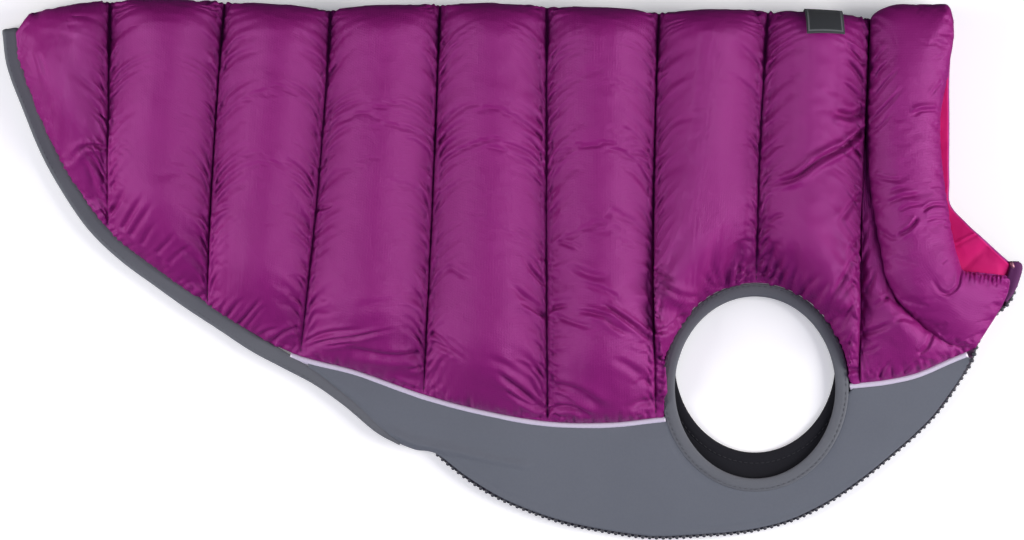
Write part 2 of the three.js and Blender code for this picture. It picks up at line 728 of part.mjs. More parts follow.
const coat = new THREE.Group();
function add(name, geometry, color, roughness, metalness = 0) {
  const mesh = new THREE.Mesh(
    geometry,
    new THREE.MeshStandardMaterial({ color, roughness, metalness, side: THREE.FrontSide }),
  );
  mesh.name = name;
  coat.add(mesh);
}

add("back_quilt", backShell, COLORS.shell, 0.42);
add("chest_quilt_near", chestPoint(1), COLORS.shell, 0.42);
add("chest_quilt_far", chestPoint(-1), COLORS.shell, 0.42);
add("collar_shell", collarShell(), COLORS.shell, 0.42);
add("collar_lining", collarLining(), COLORS.lining, 0.5);
add("belly_panel_near", bellyPanel(1), COLORS.cloth, 0.85);
add("belly_panel_far", bellyPanel(-1), COLORS.cloth, 0.85);
add("leg_binding_near", legBinding(1), COLORS.binding, 0.85);
add("leg_binding_far", legBinding(-1), COLORS.binding, 0.85);
add("hem_binding", hemBinding(), COLORS.binding, 0.85);
add("piping_rear_near", piping(rearEdge, 1, -100, 72), COLORS.piping, 0.4);
add("piping_rear_far", piping(rearEdge, -1, -100, 72), COLORS.piping, 0.4);
add("piping_front_near", piping(frontEdge, 1, 160.5, 212), COLORS.piping, 0.4);
add("piping_front_far", piping(frontEdge, -1, 160.5, 212), COLORS.piping, 0.4);
add("zip_chain", strip(levelFrames(zipLine, zipHeight), ZIP_WIDTH, ZIP_THICK), COLORS.zip, 0.5);
add("label", label(), COLORS.label, 0.8);

// The frame's origin is under the middle of the coat, on the surface.
const inner = new THREE.Group();
inner.add(...coat.children);
inner.updateMatrixWorld(true);
const box = new THREE.Box3().setFromObject(inner);
inner.position.set(-(box.min.x + box.max.x) / 2, -(box.min.y + box.max.y) / 2, -box.min.z);

const root = new THREE.Group();
root.add(inner);
export default root;
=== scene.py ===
import math
import bpy
import bmesh
import numpy as np
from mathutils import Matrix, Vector


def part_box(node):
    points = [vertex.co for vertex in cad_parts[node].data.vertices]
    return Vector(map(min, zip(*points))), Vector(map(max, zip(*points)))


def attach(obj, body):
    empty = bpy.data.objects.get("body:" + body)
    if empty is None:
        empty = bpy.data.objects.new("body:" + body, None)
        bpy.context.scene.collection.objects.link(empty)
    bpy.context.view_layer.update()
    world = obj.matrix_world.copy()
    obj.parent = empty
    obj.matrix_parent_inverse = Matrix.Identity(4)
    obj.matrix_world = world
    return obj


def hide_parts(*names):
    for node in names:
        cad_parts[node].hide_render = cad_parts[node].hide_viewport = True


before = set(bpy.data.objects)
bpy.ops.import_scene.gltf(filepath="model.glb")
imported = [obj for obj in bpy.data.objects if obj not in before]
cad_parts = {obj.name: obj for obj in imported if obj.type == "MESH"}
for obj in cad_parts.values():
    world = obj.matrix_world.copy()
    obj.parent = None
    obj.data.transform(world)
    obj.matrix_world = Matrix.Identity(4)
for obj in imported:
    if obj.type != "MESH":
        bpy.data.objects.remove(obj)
for _name in ("Cube", "Light", "Camera"):
    _ob = bpy.data.objects.get(_name)
    if _ob is not None:
        bpy.data.objects.remove(_ob)
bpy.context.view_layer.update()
MM = 0.001
rng = np.random.default_rng(7)

# ---------------------------------------------------------------- sizes, in millimetres
GAP = 0.3
EDGE = 2.6
REST_MID = 2.9
MID = 14.6
SLIT = 0.3
NEAR_LOFT = 17.0
QUILT_PINCH = 3.2
LINE_SAG = 1.8
LINE_LIFT = 2.4
LINE_FLAT = 0.3
RAMP = 30.0
FOLD_R = 15.0
FOLD_WALL = 12.0
CROWN = 1.4
CLOTH = 2.2
LINING = 0.9
HEM_WIDTH = 5.4
HEM_THICK = 2.6
PIPING_WIDTH = 3.1
ZIP_WIDTH = 2.2
HOLE_X, HOLE_Y, HOLE_RX, HOLE_RY = 114.4, -55.3, 37.6, 43.0
RING_RX, RING_RY, RING_THICK = 44.2, 48.9, 3.2
FAR_SHIFT, SHIFT_FROM, SHIFT_FULL, SHIFT_HOLD, SHIFT_END = 12.2, -100.0, 62.0, 164.0, 213.0

SEAMS = [dict(topX=topX, topY=topY, bow=bow, lowX=lowX, lowY=lowY) for topX, topY, bow, lowX, lowY in (
    (-227.5, 120.1, -0.2, -233.6, 111.4),
    (-188.9, 125.5, 0, -190.3, 19.7),
    (-134.9, 125, -0.9, -142.9, -15.5),
    (-85.1, 121.7, 1.6, -99.6, -39.7),
    (-33.8, 124.1, 0.5, -41.4, -58.5),
    (16.4, 123.1, -0.5, 16.4, -71.2),
    (69.1, 120.3, -1.9, 67.2, -69.6),
    (120.3, 120.8, -1.2, 115.1, -6.1),
    (168.3, 118, -1.4, 164.5, -53.1),
)]

REAR_EDGE = [dict(x=x, y=y) for x, y in (
    (-233.6, 111.4),
    (-231.2, 97.3),
    (-216.2, 59.7),
    (-190.3, 19.7),
    (-163.6, -1.9),
    (-133.5, -22.6),
    (-103.4, -39),
    (-73.3, -47.2),
    (-41.4, -58.5),
    (-13.2, -66),
    (16.4, -71.2),
    (47, -71.7),
    (69.6, -69.3),
)]

FRONT_EDGE = [dict(x=x, y=y) for x, y in (
    (159.8, -53.8),
    (174.8, -52.2),
    (189.9, -48.9),
    (204.9, -42.5),
    (213.4, -39),
)]

HEM_LINE = [dict(x=x, y=y) for x, y in (
    (-236.9, 110.9),
    (-235, 96.8),
    (-227, 75.2),
    (-219.5, 56.9),
    (-212, 42.8),
    (-197.4, 21.1),
    (-182.4, 6.6),
    (-166.4, -5.2),
    (-151.3, -16),
    (-136.3, -25.8),
    (-121.3, -35.7),
    (-106.2, -43.7),
    (-91.2, -51.7),
    (-76.1, -62.5),
    (-62, -74.3),
    (-51.7, -79.9),
)]

ZIP_LINE = [dict(x=x, y=y) for x, y in (
    (-35.2, -86),
    (-28.2, -92.1),
    (-13.2, -102.9),
    (0.9, -110),
    (23.5, -118.2),
    (38.5, -121.5),
    (64.9, -125.3),
    (91.2, -124.3),
    (113.7, -122),
    (136.3, -115.4),
    (158.9, -102.2),
    (180.9, -84.8),
    (195.5, -71.4),
    (203, -62.5),
    (210.6, -51.2),
    (217.6, -38.1),
    (222.8, -26.3),
    (229.8, -18.8),
    (235.9, -8.9),
    (237.8, -1.4),
)]

# The cloth's tops go a little under the collar, so that no gap shows between them.
CHEST = [dict(lowX=lowX, topX=topX, topY=topY, loft=loft, bow=bow) for lowX, topX, topY, loft, bow in (
    (164.05, 165.5, 62, 9.8, 0.85),
    (166.8, 168.4, 46, 9.8, 0.6),
    (170.6, 171.0, 32, 10.4, 0.3),
    (175.2, 173.6, 16, 11.2, 0),
    (180.9, 176.4, 0, 12, 0),
    (188, 179.6, -11, 12, 0),
    (195, 184.5, -17.5, 11, 0),
    (201.6, 193, -25.2, 8.5, 0),
    (207.7, 203, -31.6, 5.5, 0),
    (212.9, 211.5, -35.2, 3.4, 0),
    (216.9, 218.3, -35.3, 2.8, 0),
)]

COLLAR = [dict(seamX=seamX, seamY=seamY, rimX=rimX, rimY=rimY, farX=farX, farY=farY, edge=edge, loft=loft, mid=mid, bow=bow) for (
    seamX, seamY, rimX, rimY, farX, farY, edge, loft, mid, bow) in (
    (168.1, 112.3, 206.9, 112.3, 206.8, 112.3, 5.0, 12.6, 14.6, 0),
    (167.1, 91.6, 204.6, 92.1, 205.6, 91.2, 4.5, 16.5, 14.6, 0),
    (166.2, 65.8, 201.2, 71, 205.6, 68.6, 4.0, 17.5, 14.6, 0),
    (167.8, 37.6, 202.8, 42.3, 205.6, 41.4, 4.0, 18, 14.6, 0),
    (169.7, 24.0, 204.6, 29.8, 206.1, 30.6, 4.0, 18, 14.6, 0),
    (172, 12.1, 206.4, 18.2, 213, 22.6, 4.0, 18, 14.6, 0),
    (176.2, -7, 210.0, 4.2, 222.3, 14.1, 4.2, 17.5, 14.2, 0),
    (183.6, -18.3, 212.2, -0.3, 230.4, 6.8, 4.5, 16.5, 12.5, 0),
    (193.6, -27, 219.6, -1.2, 233.9, 3.8, 4.5, 13.5, 10, 0.2),
    (204.4, -34.1, 227.4, -2.0, 235.8, 2.0, 4.2, 9.5, 7.2, 0.9),
    (217.9, -36.8, 234.3, -3.0, 236.8, 1.4, 3.4, 4.8, 5.0, 1.25),
)]

BELLY = [dict(edge=edge, at=at, lowX=lowX, lowY=lowY) for edge, at, lowX, lowY in (
    ("rear", -95.9, -94.9, -46.3),
    ("rear", -84.6, -83.2, -53.1),
    ("rear", -72.4, -70.5, -63),
    ("rear", -58.3, -57.3, -71.4),
    ("rear", -43.2, -44.6, -80.4),
    ("rear", -28.2, -33.8, -84.6),
    ("rear", -13.2, -20.7, -95.4),
    ("rear", 3.8, -2.3, -105.3),
    ("rear", 22.6, 19.3, -113.7),
    ("rear", 47, 41.4, -118.9),
    ("rear", 66.7, 62.5, -122.2),
    ("ring", 208, 75.7, -122.7),
    ("ring", 225, 88.4, -121.3),
    ("ring", 247, 101.5, -120.3),
    ("ring", 270, 115.1, -118.7),
    ("ring", 293, 130.7, -114.2),
    ("ring", 315, 147.1, -106.7),
    ("ring", 337, 162.6, -96.8),
    ("ring", 356, 173.9, -87.9),
    ("front", 166.4, 180.5, -82.7),
    ("front", 176.7, 188, -75.7),
    ("front", 189.9, 196.5, -66.3),
    ("front", 203, 204.9, -54.5),
    ("front", 209.6, 210.6, -45.1),
)]

# the cloth goes on to the zip's teeth, and the zip goes up past the collar's rim
FRONT_EDGE.append(dict(x=217.2, y=-37.4))
BELLY[-1:] = [dict(edge="front", at=209.6, lowX=210.6, lowY=-45.1), dict(edge="front", at=214.2, lowX=214.6, lowY=-41.0)]
_ring = [r["edge"] for r in BELLY].index("ring")
BELLY[_ring:_ring] = [dict(edge="ring", at=198.5, lowX=70.0, lowY=-122.6)]
_front = [r["edge"] for r in BELLY].index("front")
BELLY[_front:_front] = [dict(edge="front", at=160.6, lowX=177.2, lowY=-85.4)]
for _r in BELLY:
    if _r["lowX"] == -44.6:
        _r["lowX"], _r["lowY"] = -46.4, -84.3
    elif _r["lowX"] == -57.3:
        _r["lowX"], _r["lowY"] = -57.6, -78.8
    elif _r["lowX"] == -70.5:
        _r["lowX"], _r["lowY"] = -73.0, -66.0
    elif _r["lowX"] == -83.2:
        _r["lowX"], _r["lowY"] = -85.4, -56.2
    elif _r["lowX"] == -94.9:
        _r["lowX"], _r["lowY"] = -95.8, -48.0
    elif _r["lowX"] == -33.8:
        _r["lowX"], _r["lowY"] = -35.6, -86.5
ZIP_LINE[-6:] = [dict(x=x, y=y) for x, y in (
    (210.6, -51.2),
    (215.8, -42.9),
    (219.3, -32.1),
    (222.4, -26.0),
    (227.5, -20.2),
    (232.0, -16.6),
    (234.9, -12.4),
    (236.9, -5.3),
    (238.5, 0.3),
    (238.5, 4.2),
)]

# The frame's origin is a little off the middle that the tables are written from.
_lo, _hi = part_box("leg_binding_near")
OFF_X = (_lo[0] + _hi[0]) / 2 / MM - HOLE_X
OFF_Y = (_lo[1] + _hi[1]) / 2 / MM - HOLE_Y

# ---------------------------------------------------------------- camera
PX = 0.47  # millimetres for each pixel of the 1024 by 540 frame
LENS = 420.0
FOCUS_Z = 12.0


def make_camera():
    data = bpy.data.cameras.new("camera")
    data.sensor_width = 36.0
    data.lens = LENS
    width = 1024 * PX * MM
    distance = LENS * width / 36.0
    cam = bpy.data.objects.new("camera", data)
    cam.location = (OFF_X * MM, OFF_Y * MM, distance + FOCUS_Z * MM)
    data.clip_start, data.clip_end = 0.1, 50
    bpy.context.scene.collection.objects.link(cam)
    bpy.context.scene.camera = cam


make_camera()

# ---------------------------------------------------------------- lines


def spline(rows, step=1.0):
    """Centripetal Catmull-Rom through rows with x and y, at even steps."""
    p = np.array([[r["x"], r["y"]] for r in rows], float)
    p = np.vstack([2 * p[0] - p[1], p, 2 * p[-1] - p[-2]])
    out = []
    for i in range(1, len(p) - 2):
        q = p[i - 1 : i + 3]
        t = np.concatenate([[0], np.cumsum(np.maximum(1e-6, np.linalg.norm(np.diff(q, axis=0), axis=1)) ** 0.5)])
        for u in np.linspace(t[1], t[2], 24, endpoint=False):
            a = [(q[k] * (t[k + 1] - u) + q[k + 1] * (u - t[k])) / (t[k + 1] - t[k]) for k in range(3)]
            b = [(a[k] * (t[k + 2] - u) + a[k + 1] * (u - t[k])) / (t[k + 2] - t[k]) for k in range(2)]
            out.append((b[0] * (t[2] - u) + b[1] * (u - t[1])) / (t[2] - t[1]))
    out.append(p[-2])
    return resample(np.array(out), step)


def lengths(line):
    return np.concatenate([[0], np.cumsum(np.linalg.norm(np.diff(line, axis=0), axis=1))])


def at_length(line, sums, s):
    return np.stack([np.interp(s, sums, line[:, k]) for k in range(line.shape[1])], -1)


def resample(line, step):
    sums = lengths(line)
    n = max(2, int(round(sums[-1] / step)))
    return at_length(line, sums, np.linspace(0, sums[-1], n + 1))


def beside(line, d):
    t = np.gradient(line, axis=0)
    t /= np.linalg.norm(t, axis=1)[:, None]
    return line + np.stack([-t[:, 1], t[:, 0]], 1) * d


def ellipse(rx, ry, degrees):
    a = np.radians(degrees)
    return np.stack([HOLE_X + rx * np.cos(a), HOLE_Y + ry * np.sin(a)], -1)


def smooth(x, a, b):
    t = np.clip((np.asarray(x, float) - a) / (b - a), 0, 1)
    return t * t * (3 - 2 * t)


def far_shift(x):
    return FAR_SHIFT * smooth(x, SHIFT_FROM, SHIFT_FULL) * (1 - smooth(x, SHIFT_HOLD, SHIFT_END))


rear_edge = spline(REAR_EDGE)
front_edge = spline(FRONT_EDGE)
lower_edge = np.vstack([
    rear_edge,
    ellipse(RING_RX + 0.35, RING_RY + 0.35, np.linspace(196.2, 2.5, 164)),
    front_edge[front_edge[:, 0] <= SEAMS[-1]["lowX"]],
])
lower_sums = lengths(lower_edge)

# ---------------------------------------------------------------- small helpers


def value_noise(points, scale, seed):
    """Smooth noise from -1 to 1 at 2-D points, one cell each scale."""
    r = np.random.default_rng(seed)
    g = r.uniform(-1, 1, (97, 97))
    q = np.asarray(points, float) / scale + 40.0
    i = np.floor(q).astype(int)
    f = q - i
    f = f * f * (3 - 2 * f)
    ix, iy = i[..., 0] % 96, i[..., 1] % 96
    fx, fy = f[..., 0], f[..., 1]
    return (g[ix, iy] * (1 - fx) * (1 - fy) + g[ix + 1, iy] * fx * (1 - fy)
            + g[ix, iy + 1] * (1 - fx) * fy + g[ix + 1, iy + 1] * fx * fy)


def upsample(grid, a, b):
    """Catmull-Rom upsampling of a grid of points: a times along the first axis, b times along the second."""

    def one(g, k):
        if k == 1:
            return g
        n = len(g)
        t = np.linspace(0, n - 1, (n - 1) * k + 1)
        i = np.minimum(t.astype(int), n - 2)
        f = (t - i).reshape((-1,) + (1,) * (g.ndim - 1))
        p0, p1, p2, p3 = g[np.maximum(i - 1, 0)], g[i], g[i + 1], g[np.minimum(i + 2, n - 1)]
        return 0.5 * (2 * p1 + (p2 - p0) * f + (2 * p0 - 5 * p1 + 4 * p2 - p3) * f**2 + (3 * p1 - p0 - 3 * p2 + p3) * f**3)

    g = one(grid, a)
    return np.swapaxes(one(np.swapaxes(g, 0, 1), b), 0, 1)


def mesh_object(name, verts_mm, faces, uvs=None, smooth_shade=True):
    verts = np.asarray(verts_mm, float).reshape(-1, 3) + (OFF_X, OFF_Y, 0)
    me = bpy.data.meshes.new(name)
    me.from_pydata((verts * MM).tolist(), [], faces if isinstance(faces, list) else faces.tolist())
    me.validate(verbose=False)
    if uvs is not None:
        layer = me.uv_layers.new(name="cloth")
        idx = np.empty(len(me.loops), np.int32)
        me.loops.foreach_get("vertex_index", idx)
        layer.data.foreach_set("uv", (np.asarray(uvs, float).reshape(-1, 2)[idx] * MM).ravel())
    if smooth_shade:
        me.polygons.foreach_set("use_smooth", [True] * len(me.polygons))
    bm = bmesh.new()
    bm.from_mesh(me)
    bmesh.ops.recalc_face_normals(bm, faces=bm.faces)
    bm.to_mesh(me)
    bm.free()
    me.update()
    obj = bpy.data.objects.new(name, me)
    bpy.context.scene.collection.objects.link(obj)
    return obj


def grid_faces(n, m, wrap_n=False, wrap_m=False, start=0):
    i, j = np.meshgrid(np.arange(n if wrap_n else n - 1), np.arange(m if wrap_m else m - 1), indexing="ij")
    i2, j2 = (i + 1) % n, (j + 1) % m
    return (np.stack([i * m + j, i2 * m + j, i2 * m + j2, i * m + j2], -1).reshape(-1, 4) + start)


def loop_body(name, rings, uvs=None):
    """Closed body from rings [stations, points, 3], with an n-gon at each end."""
    n, m = rings.shape[:2]
    faces = grid_faces(n, m, wrap_m=True).tolist()
    faces.append(list(range(m))[::-1])
    faces.append([(n - 1) * m + k for k in range(m)])
    return mesh_object(name, rings, faces, uvs)


# ---------------------------------------------------------------- back shell


def columns(per_channel):
    """Stations along the shell: lower end, upper end, bow, fullness and share across the channel."""
    rows = []
    low_s = [lower_sums[np.argmin(np.linalg.norm(lower_edge - (s["lowX"], s["lowY"]), axis=1))] for s in SEAMS]
    for i in range(len(SEAMS) - 1):
        a, b = SEAMS[i], SEAMS[i + 1]
        for u in np.arange(per_channel[i]) / per_channel[i]:
            rows.append((i, u))
    rows.append((len(SEAMS) - 2, 1.0))
    out = []
    for i, u in rows:
        a, b = SEAMS[i], SEAMS[i + 1]
        puff = max(0.0, math.sin(math.pi * u)) ** 0.6 if 0 < u < 1 else 0.0
        low = at_length(lower_edge, lower_sums, (1 - u) * low_s[i] + u * low_s[i + 1])
        top = ((1 - u) * a["topX"] + u * b["topX"], (1 - u) * a["topY"] + u * b["topY"] + CROWN * puff)
        out.append(dict(i=i, u=u, low=low, top=np.array(top), bow=(1 - u) * a["bow"] + u * b["bow"], puff=puff,
                        lift=max(0.0, 1 - min(u, 1 - u) / LINE_FLAT)))
    return out


def shell_point(c, side, s, level="out", loft_scale=1.0):
    """Points of a column at distances s from the lower edge, in millimetres."""
    low = c["low"] + (0, 0 if side > 0 else far_shift(c["low"][0]))
    size = np.linalg.norm(low - c["top"])
    ramp, fold = min(RAMP, 0.45 * size), min(FOLD_R, 0.5 * size)
    v = s / size
    full = np.sin(math.pi / 2 * np.clip(s / ramp, 0, 1)) ** 0.75
    k = np.clip((s - (size - fold)) / fold, 0, 1)
    rnd = np.sqrt(np.maximum(0, 1 - k * k))
    mid = (REST_MID + (MID * min(1, size / 60 + 0.25) - REST_MID) * smooth(s, 0, ramp * 1.35)
           - LINE_SAG * (1 - c["puff"]) * smooth(s, 0, ramp))
    x = low[0] + (c["top"][0] - low[0]) * v + 4 * c["bow"] * v * (1 - v)
    y = low[1] + (c["top"][1] - low[1]) * v
    if level == "in":
        return np.stack([x, y, mid + side * SLIT], -1)
    if side > 0:
        loft = EDGE + (QUILT_PINCH - EDGE) * full + (NEAR_LOFT - QUILT_PINCH) * c["puff"] * full * min(1, size / 70) * loft_scale
        return np.stack([x, y, mid + SLIT + rnd * (loft - SLIT)], -1)
    under = LINE_LIFT * c["lift"] * full
    return np.stack([x, y, mid - rnd * (mid - under)], -1)


def fold_stops(size, count):
    """Distances from the lower edge to the spine, closer together round the fold."""
    fold = min(FOLD_R, 0.5 * size)
    arc = fold * 1.45
    t = np.linspace(0, size - fold + arc, count)
    return np.where(t <= size - fold, t, size - fold + fold * np.sin(np.clip((t - size + fold) / arc, 0, 1) * math.pi / 2)), t


PER_CHANNEL = [20, 21, 22, 22, 21, 21, 24, 24]
ROWS = 128  # from the lower edge to the spine
OVER = 8  # rows past the spine, on the far side


def near_sheet():
    cols = columns(PER_CHANNEL)
    grid = np.zeros((len(cols), ROWS + OVER, 3))
    plan = np.zeros((len(cols), ROWS + OVER, 2))
    for n, c in enumerate(cols):
        size = np.linalg.norm(c["low"] - c["top"])
        s, t = fold_stops(size, ROWS)
        grid[n, :ROWS] = shell_point(c, 1, s)
        v = t / t[-1]
        flat_x = c["low"][0] + (c["top"][0] - c["low"][0]) * v + 4 * c["bow"] * v * (1 - v)
        plan[n, :ROWS] = np.stack([flat_x, c["top"][1] - (t[-1] - t)], -1)
        size_far = np.linalg.norm(c["low"] + (0, far_shift(c["low"][0])) - c["top"])
        step = t[1] - t[0]
        back = step * np.arange(1, OVER + 1)
        fold = min(FOLD_R, 0.5 * size_far)
        arc = fold * 1.45
        s_far = size_far - fold + fold * np.cos(np.clip(back / arc, 0, 1) * math.pi / 2)
        grid[n, ROWS:] = shell_point(c, -1, s_far)
        plan[n, ROWS:] = np.stack([np.full(OVER, c["top"][0]), c["top"][1] + back], -1)
    return cols, grid, plan


# ---------------------------------------------------------------- collar

COLLAR_ACROSS = 40
COLLAR_TURN = 100.0  # how far round the spine fold the near sheet reaches, in degrees


def collar_rows(count):
    key = ("seamX", "seamY", "rimX", "rimY", "farX", "farY", "edge", "loft", "mid", "bow")
    table = np.array([[r[k] for k in key] for r in COLLAR], float)
    mids = np.stack([(table[:, 0] + table[:, 2]) / 2, (table[:, 1] + table[:, 3]) / 2], 1)
    sums = lengths(mids)
    s = np.linspace(0, sums[-1], count)
    out = np.zeros((count, len(key)))
    # smooth through the rows
    n = len(sums)
    for k in range(len(key)):
        m = np.gradient(table[:, k], sums)
        i = np.clip(np.searchsorted(sums, s) - 1, 0, n - 2)
        h = sums[i + 1] - sums[i]
        f = (s - sums[i]) / h
        out[:, k] = ((2 * f**3 - 3 * f**2 + 1) * table[i, k] + (f**3 - 2 * f**2 + f) * h * m[i]
                     + (-2 * f**3 + 3 * f**2) * table[i + 1, k] + (f**3 - f**2) * h * m[i + 1])
    return [dict(zip(key, r)) for r in out], s


def collar_height(r, a, far=False):
    limit = min(r["loft"], r["mid"]) if far else r["loft"]
    edge = min(r["edge"], limit)
    rise = np.sin(math.pi / 2 * np.clip(a / 0.42, 0, 1)) ** 0.62
    square = float(smooth(r["seamY"], 88, 110))
    start = 0.66 + 0.22 * square
    roll = np.maximum(0, 1 - np.clip((a - start) / (1 - start), 0, 1) ** (2.4 + 1.2 * square)) ** (0.5 - 0.12 * square)
    flat = np.minimum(1, rise * 1.25) if far else rise
    return np.maximum(0.6, (edge + (limit - edge) * flat) * roll)


def collar_stops(count):
    """Shares across, closer together at the rolled rim."""
    t = np.linspace(0, 1, count)
    return np.where(t < 0.72, t / 0.72 * 0.8, 0.8 + 0.2 * np.sin(np.clip((t - 0.72) / 0.28, 0, 1) * math.pi / 2))


def collar_point(r, a, h, turn=0.0, far=False):
    rim = (r["farX"], r["farY"]) if far else (r["rimX"], r["rimY"])
    x = r["seamX"] + (rim[0] - r["seamX"]) * a + 0.87 * r["bow"] * (4 + 12.0 * a * a) * a * (1 - a)
    y = r["seamY"] + (rim[1] - r["seamY"]) * a - 0.49 * r["bow"] * (4 + 12.0 * a * a) * a * (1 - a)
    t = math.radians(turn)
    return np.stack([x + 0 * h, y + math.sin(t) * h, r["mid"] + math.cos(t) * h], -1)


def collar_sheet(count=104, turns=11):
    """Near outer sheet of the collar, from the zip end up to the spine and a little past it."""
    rows, s = collar_rows(count)
    a = collar_stops(COLLAR_ACROSS)
    grid, plan = [], []
    for r, dist in reversed(list(zip(rows, s))):
        grid.append(collar_point(r, a, collar_height(r, a)))
        x = r["seamX"] + (r["rimX"] - r["seamX"]) * np.linspace(0, 1, COLLAR_ACROSS) * 1.0
        y = r["seamY"] + (r["rimY"] - r["seamY"]) * np.linspace(0, 1, COLLAR_ACROSS)
        plan.append(np.stack([x, y], -1))
    top = rows[0]
    for turn in np.linspace(0, COLLAR_TURN, turns + 1)[1:]:
        grid.append(collar_point(top, a, collar_height(top, a), turn))
        plan.append(plan[count - 1] + (0, 11.0 * math.radians(turn)))
    return rows, np.array(grid), np.array(plan)


# ---------------------------------------------------------------- chest point


def collar_mid_at(p):
    d = [np.hypot(r["seamX"] - p[0], r["seamY"] - p[1]) for r in COLLAR]
    return COLLAR[int(np.argmin(d))]["mid"] - 1


CHEST_ROWS = 40


def chest_table(count):
    key = ("lowX", "topX", "topY", "loft", "bow")
    table = np.array([[r[k] for k in key] + [collar_mid_at((r["topX"], r["topY"]))] for r in CHEST], float)
    t = np.arange(len(table))
    q = np.linspace(0, len(table) - 1, count)
    out = [np.interp(q, t, table[:, k]) for k in range(table.shape[1])]
    return [dict(zip(key + ("mid",), r)) for r in zip(*out)]


def chest_low(r, side):
    y = np.interp(r["lowX"], front_edge[:, 0], front_edge[:, 1])
    return np.array([r["lowX"], y + GAP + (0 if side > 0 else far_shift(r["lowX"]))])


def chest_section(r, side, v, out=True):
    low = chest_low(r, side)
    x = low[0] + (r["topX"] - low[0]) * v - r["bow"] * 4 * v * (1 - v)
    y = low[1] + (r["topY"] - low[1]) * v
    mid = REST_MID + (r["mid"] - REST_MID) * smooth(v, 0, 0.9)
    if not out:
        return np.stack([x, y, mid + side * SLIT], -1)
    body = EDGE + (max(EDGE, r["loft"]) - EDGE) * np.sin(math.pi * np.clip(v, 0, 1)) ** 0.6
    if side > 0:
        return np.stack([x, y, mid + body], -1)
    return np.stack([x, y, np.maximum(0.0, mid - np.maximum(body, mid if r["loft"] > 4 else body))], -1)


def chest_sheet(count=34):
    rows = chest_table(count)
    v = np.linspace(0, 1, CHEST_ROWS)
    grid = np.array([chest_section(r, 1, v) for r in rows])
    return rows, grid, grid[:, :, :2].copy()


# ---------------------------------------------------------------- padded cloth simulation

SIM_SCALE = 0.02  # simulation units for each millimetre


def simulate(sheets, frames):
    """Cloth sheets [(grid, plan, pinned mask, nearness to a seam, feather heights)] blown up against their pinned
    seams. Returns the moved grids.
    """
    verts, loose, faces, pins = [], [], [], []
    start = 0
    for grid, plan, pinned, near_seam, feathers in sheets:
        n, m = grid.shape[:2]
        noise = value_noise(plan, 4.0, 3) * 0.25 + value_noise(plan, 9.0, 4) * 0.3
        g = grid.copy()
        g[..., 2] += (noise + feathers) * (~pinned)
        wob = 1 + 0.45 * value_noise(plan, 12.0, 5)
        verts.append(g.reshape(-1, 3))
        loose.append(np.clip(near_seam * wob, 0, 1).ravel())
        faces.append(grid_faces(n, m, start=start))
        pins.append(np.flatnonzero(pinned.ravel()) + start)
        start += n * m
    verts, loose = np.vstack(verts) * SIM_SCALE, np.concatenate(loose)
    me = bpy.data.meshes.new("sim")
    me.from_pydata(verts.tolist(), [], np.vstack(faces).tolist())
    ob = bpy.data.objects.new("sim", me)
    bpy.context.scene.collection.objects.link(ob)
    # faces look up, so that the pressure pushes outwards
    group = ob.vertex_groups.new(name="pin")
    group.add(np.concatenate(pins).tolist(), 1.0, "REPLACE")
    slack = ob.vertex_groups.new(name="slack")
    level = np.round(loose * 20).astype(int)
    for k in range(1, 21):
        ids = np.flatnonzero(level == k)
        if len(ids):
            slack.add(ids.tolist(), k / 20, "REPLACE")
    mod = ob.modifiers.new("Cloth", "CLOTH")
    s = mod.settings
    s.quality = SIM_QUALITY
    s.mass = 0.3
    s.air_damping = 1.0
    s.tension_stiffness = 15
    s.compression_stiffness = 15
    s.shear_stiffness = 4
    s.bending_stiffness = SIM_BEND
    s.tension_damping = 5
    s.compression_damping = 5
    s.vertex_group_mass = "pin"
    s.use_pressure = True
    s.uniform_pressure_force = SIM_PRESSURE
    s.effector_weights.gravity = 0
    s.vertex_group_shrink = "slack"
    s.shrink_min = -SLACK_CREST
    s.shrink_max = -SLACK_SEAM
    mod.collision_settings.use_collision = False
    mod.collision_settings.use_self_collision = False
    mod.point_cache.frame_start = 1
    mod.point_cache.frame_end = frames
    scene = bpy.context.scene
    for f in range(1, frames + 1):
        scene.frame_set(f)
    ev = ob.evaluated_get(bpy.context.evaluated_depsgraph_get())
    co = np.empty(len(ev.data.vertices) * 3)
    ev.data.vertices.foreach_get("co", co)
    co = co.reshape(-1, 3) / SIM_SCALE
    out, start = [], 0
    for grid, *_ in sheets:
        n = grid.shape[0] * grid.shape[1]
        out.append(co[start : start + n].reshape(grid.shape))
        start += n
    scene.frame_set(1)
    bpy.data.objects.remove(ob)
    return out


SIM_QUALITY = 5
SLACK_CREST = 0.012
SLACK_SEAM = 0.26
SIM_BEND = 0.1
SIM_PRESSURE = 1.6
SIM_FRAMES = 24


def lengths_down(grid):
    """Height along each column, in millimetres, from its lower end."""
    step = np.linalg.norm(np.diff(grid, axis=1), axis=-1)
    out = np.zeros(grid.shape[:2])
    out[:, 1:] = np.cumsum(step, axis=1)
    return out + grid[:, :1, 1]


FEATHER = 1.0


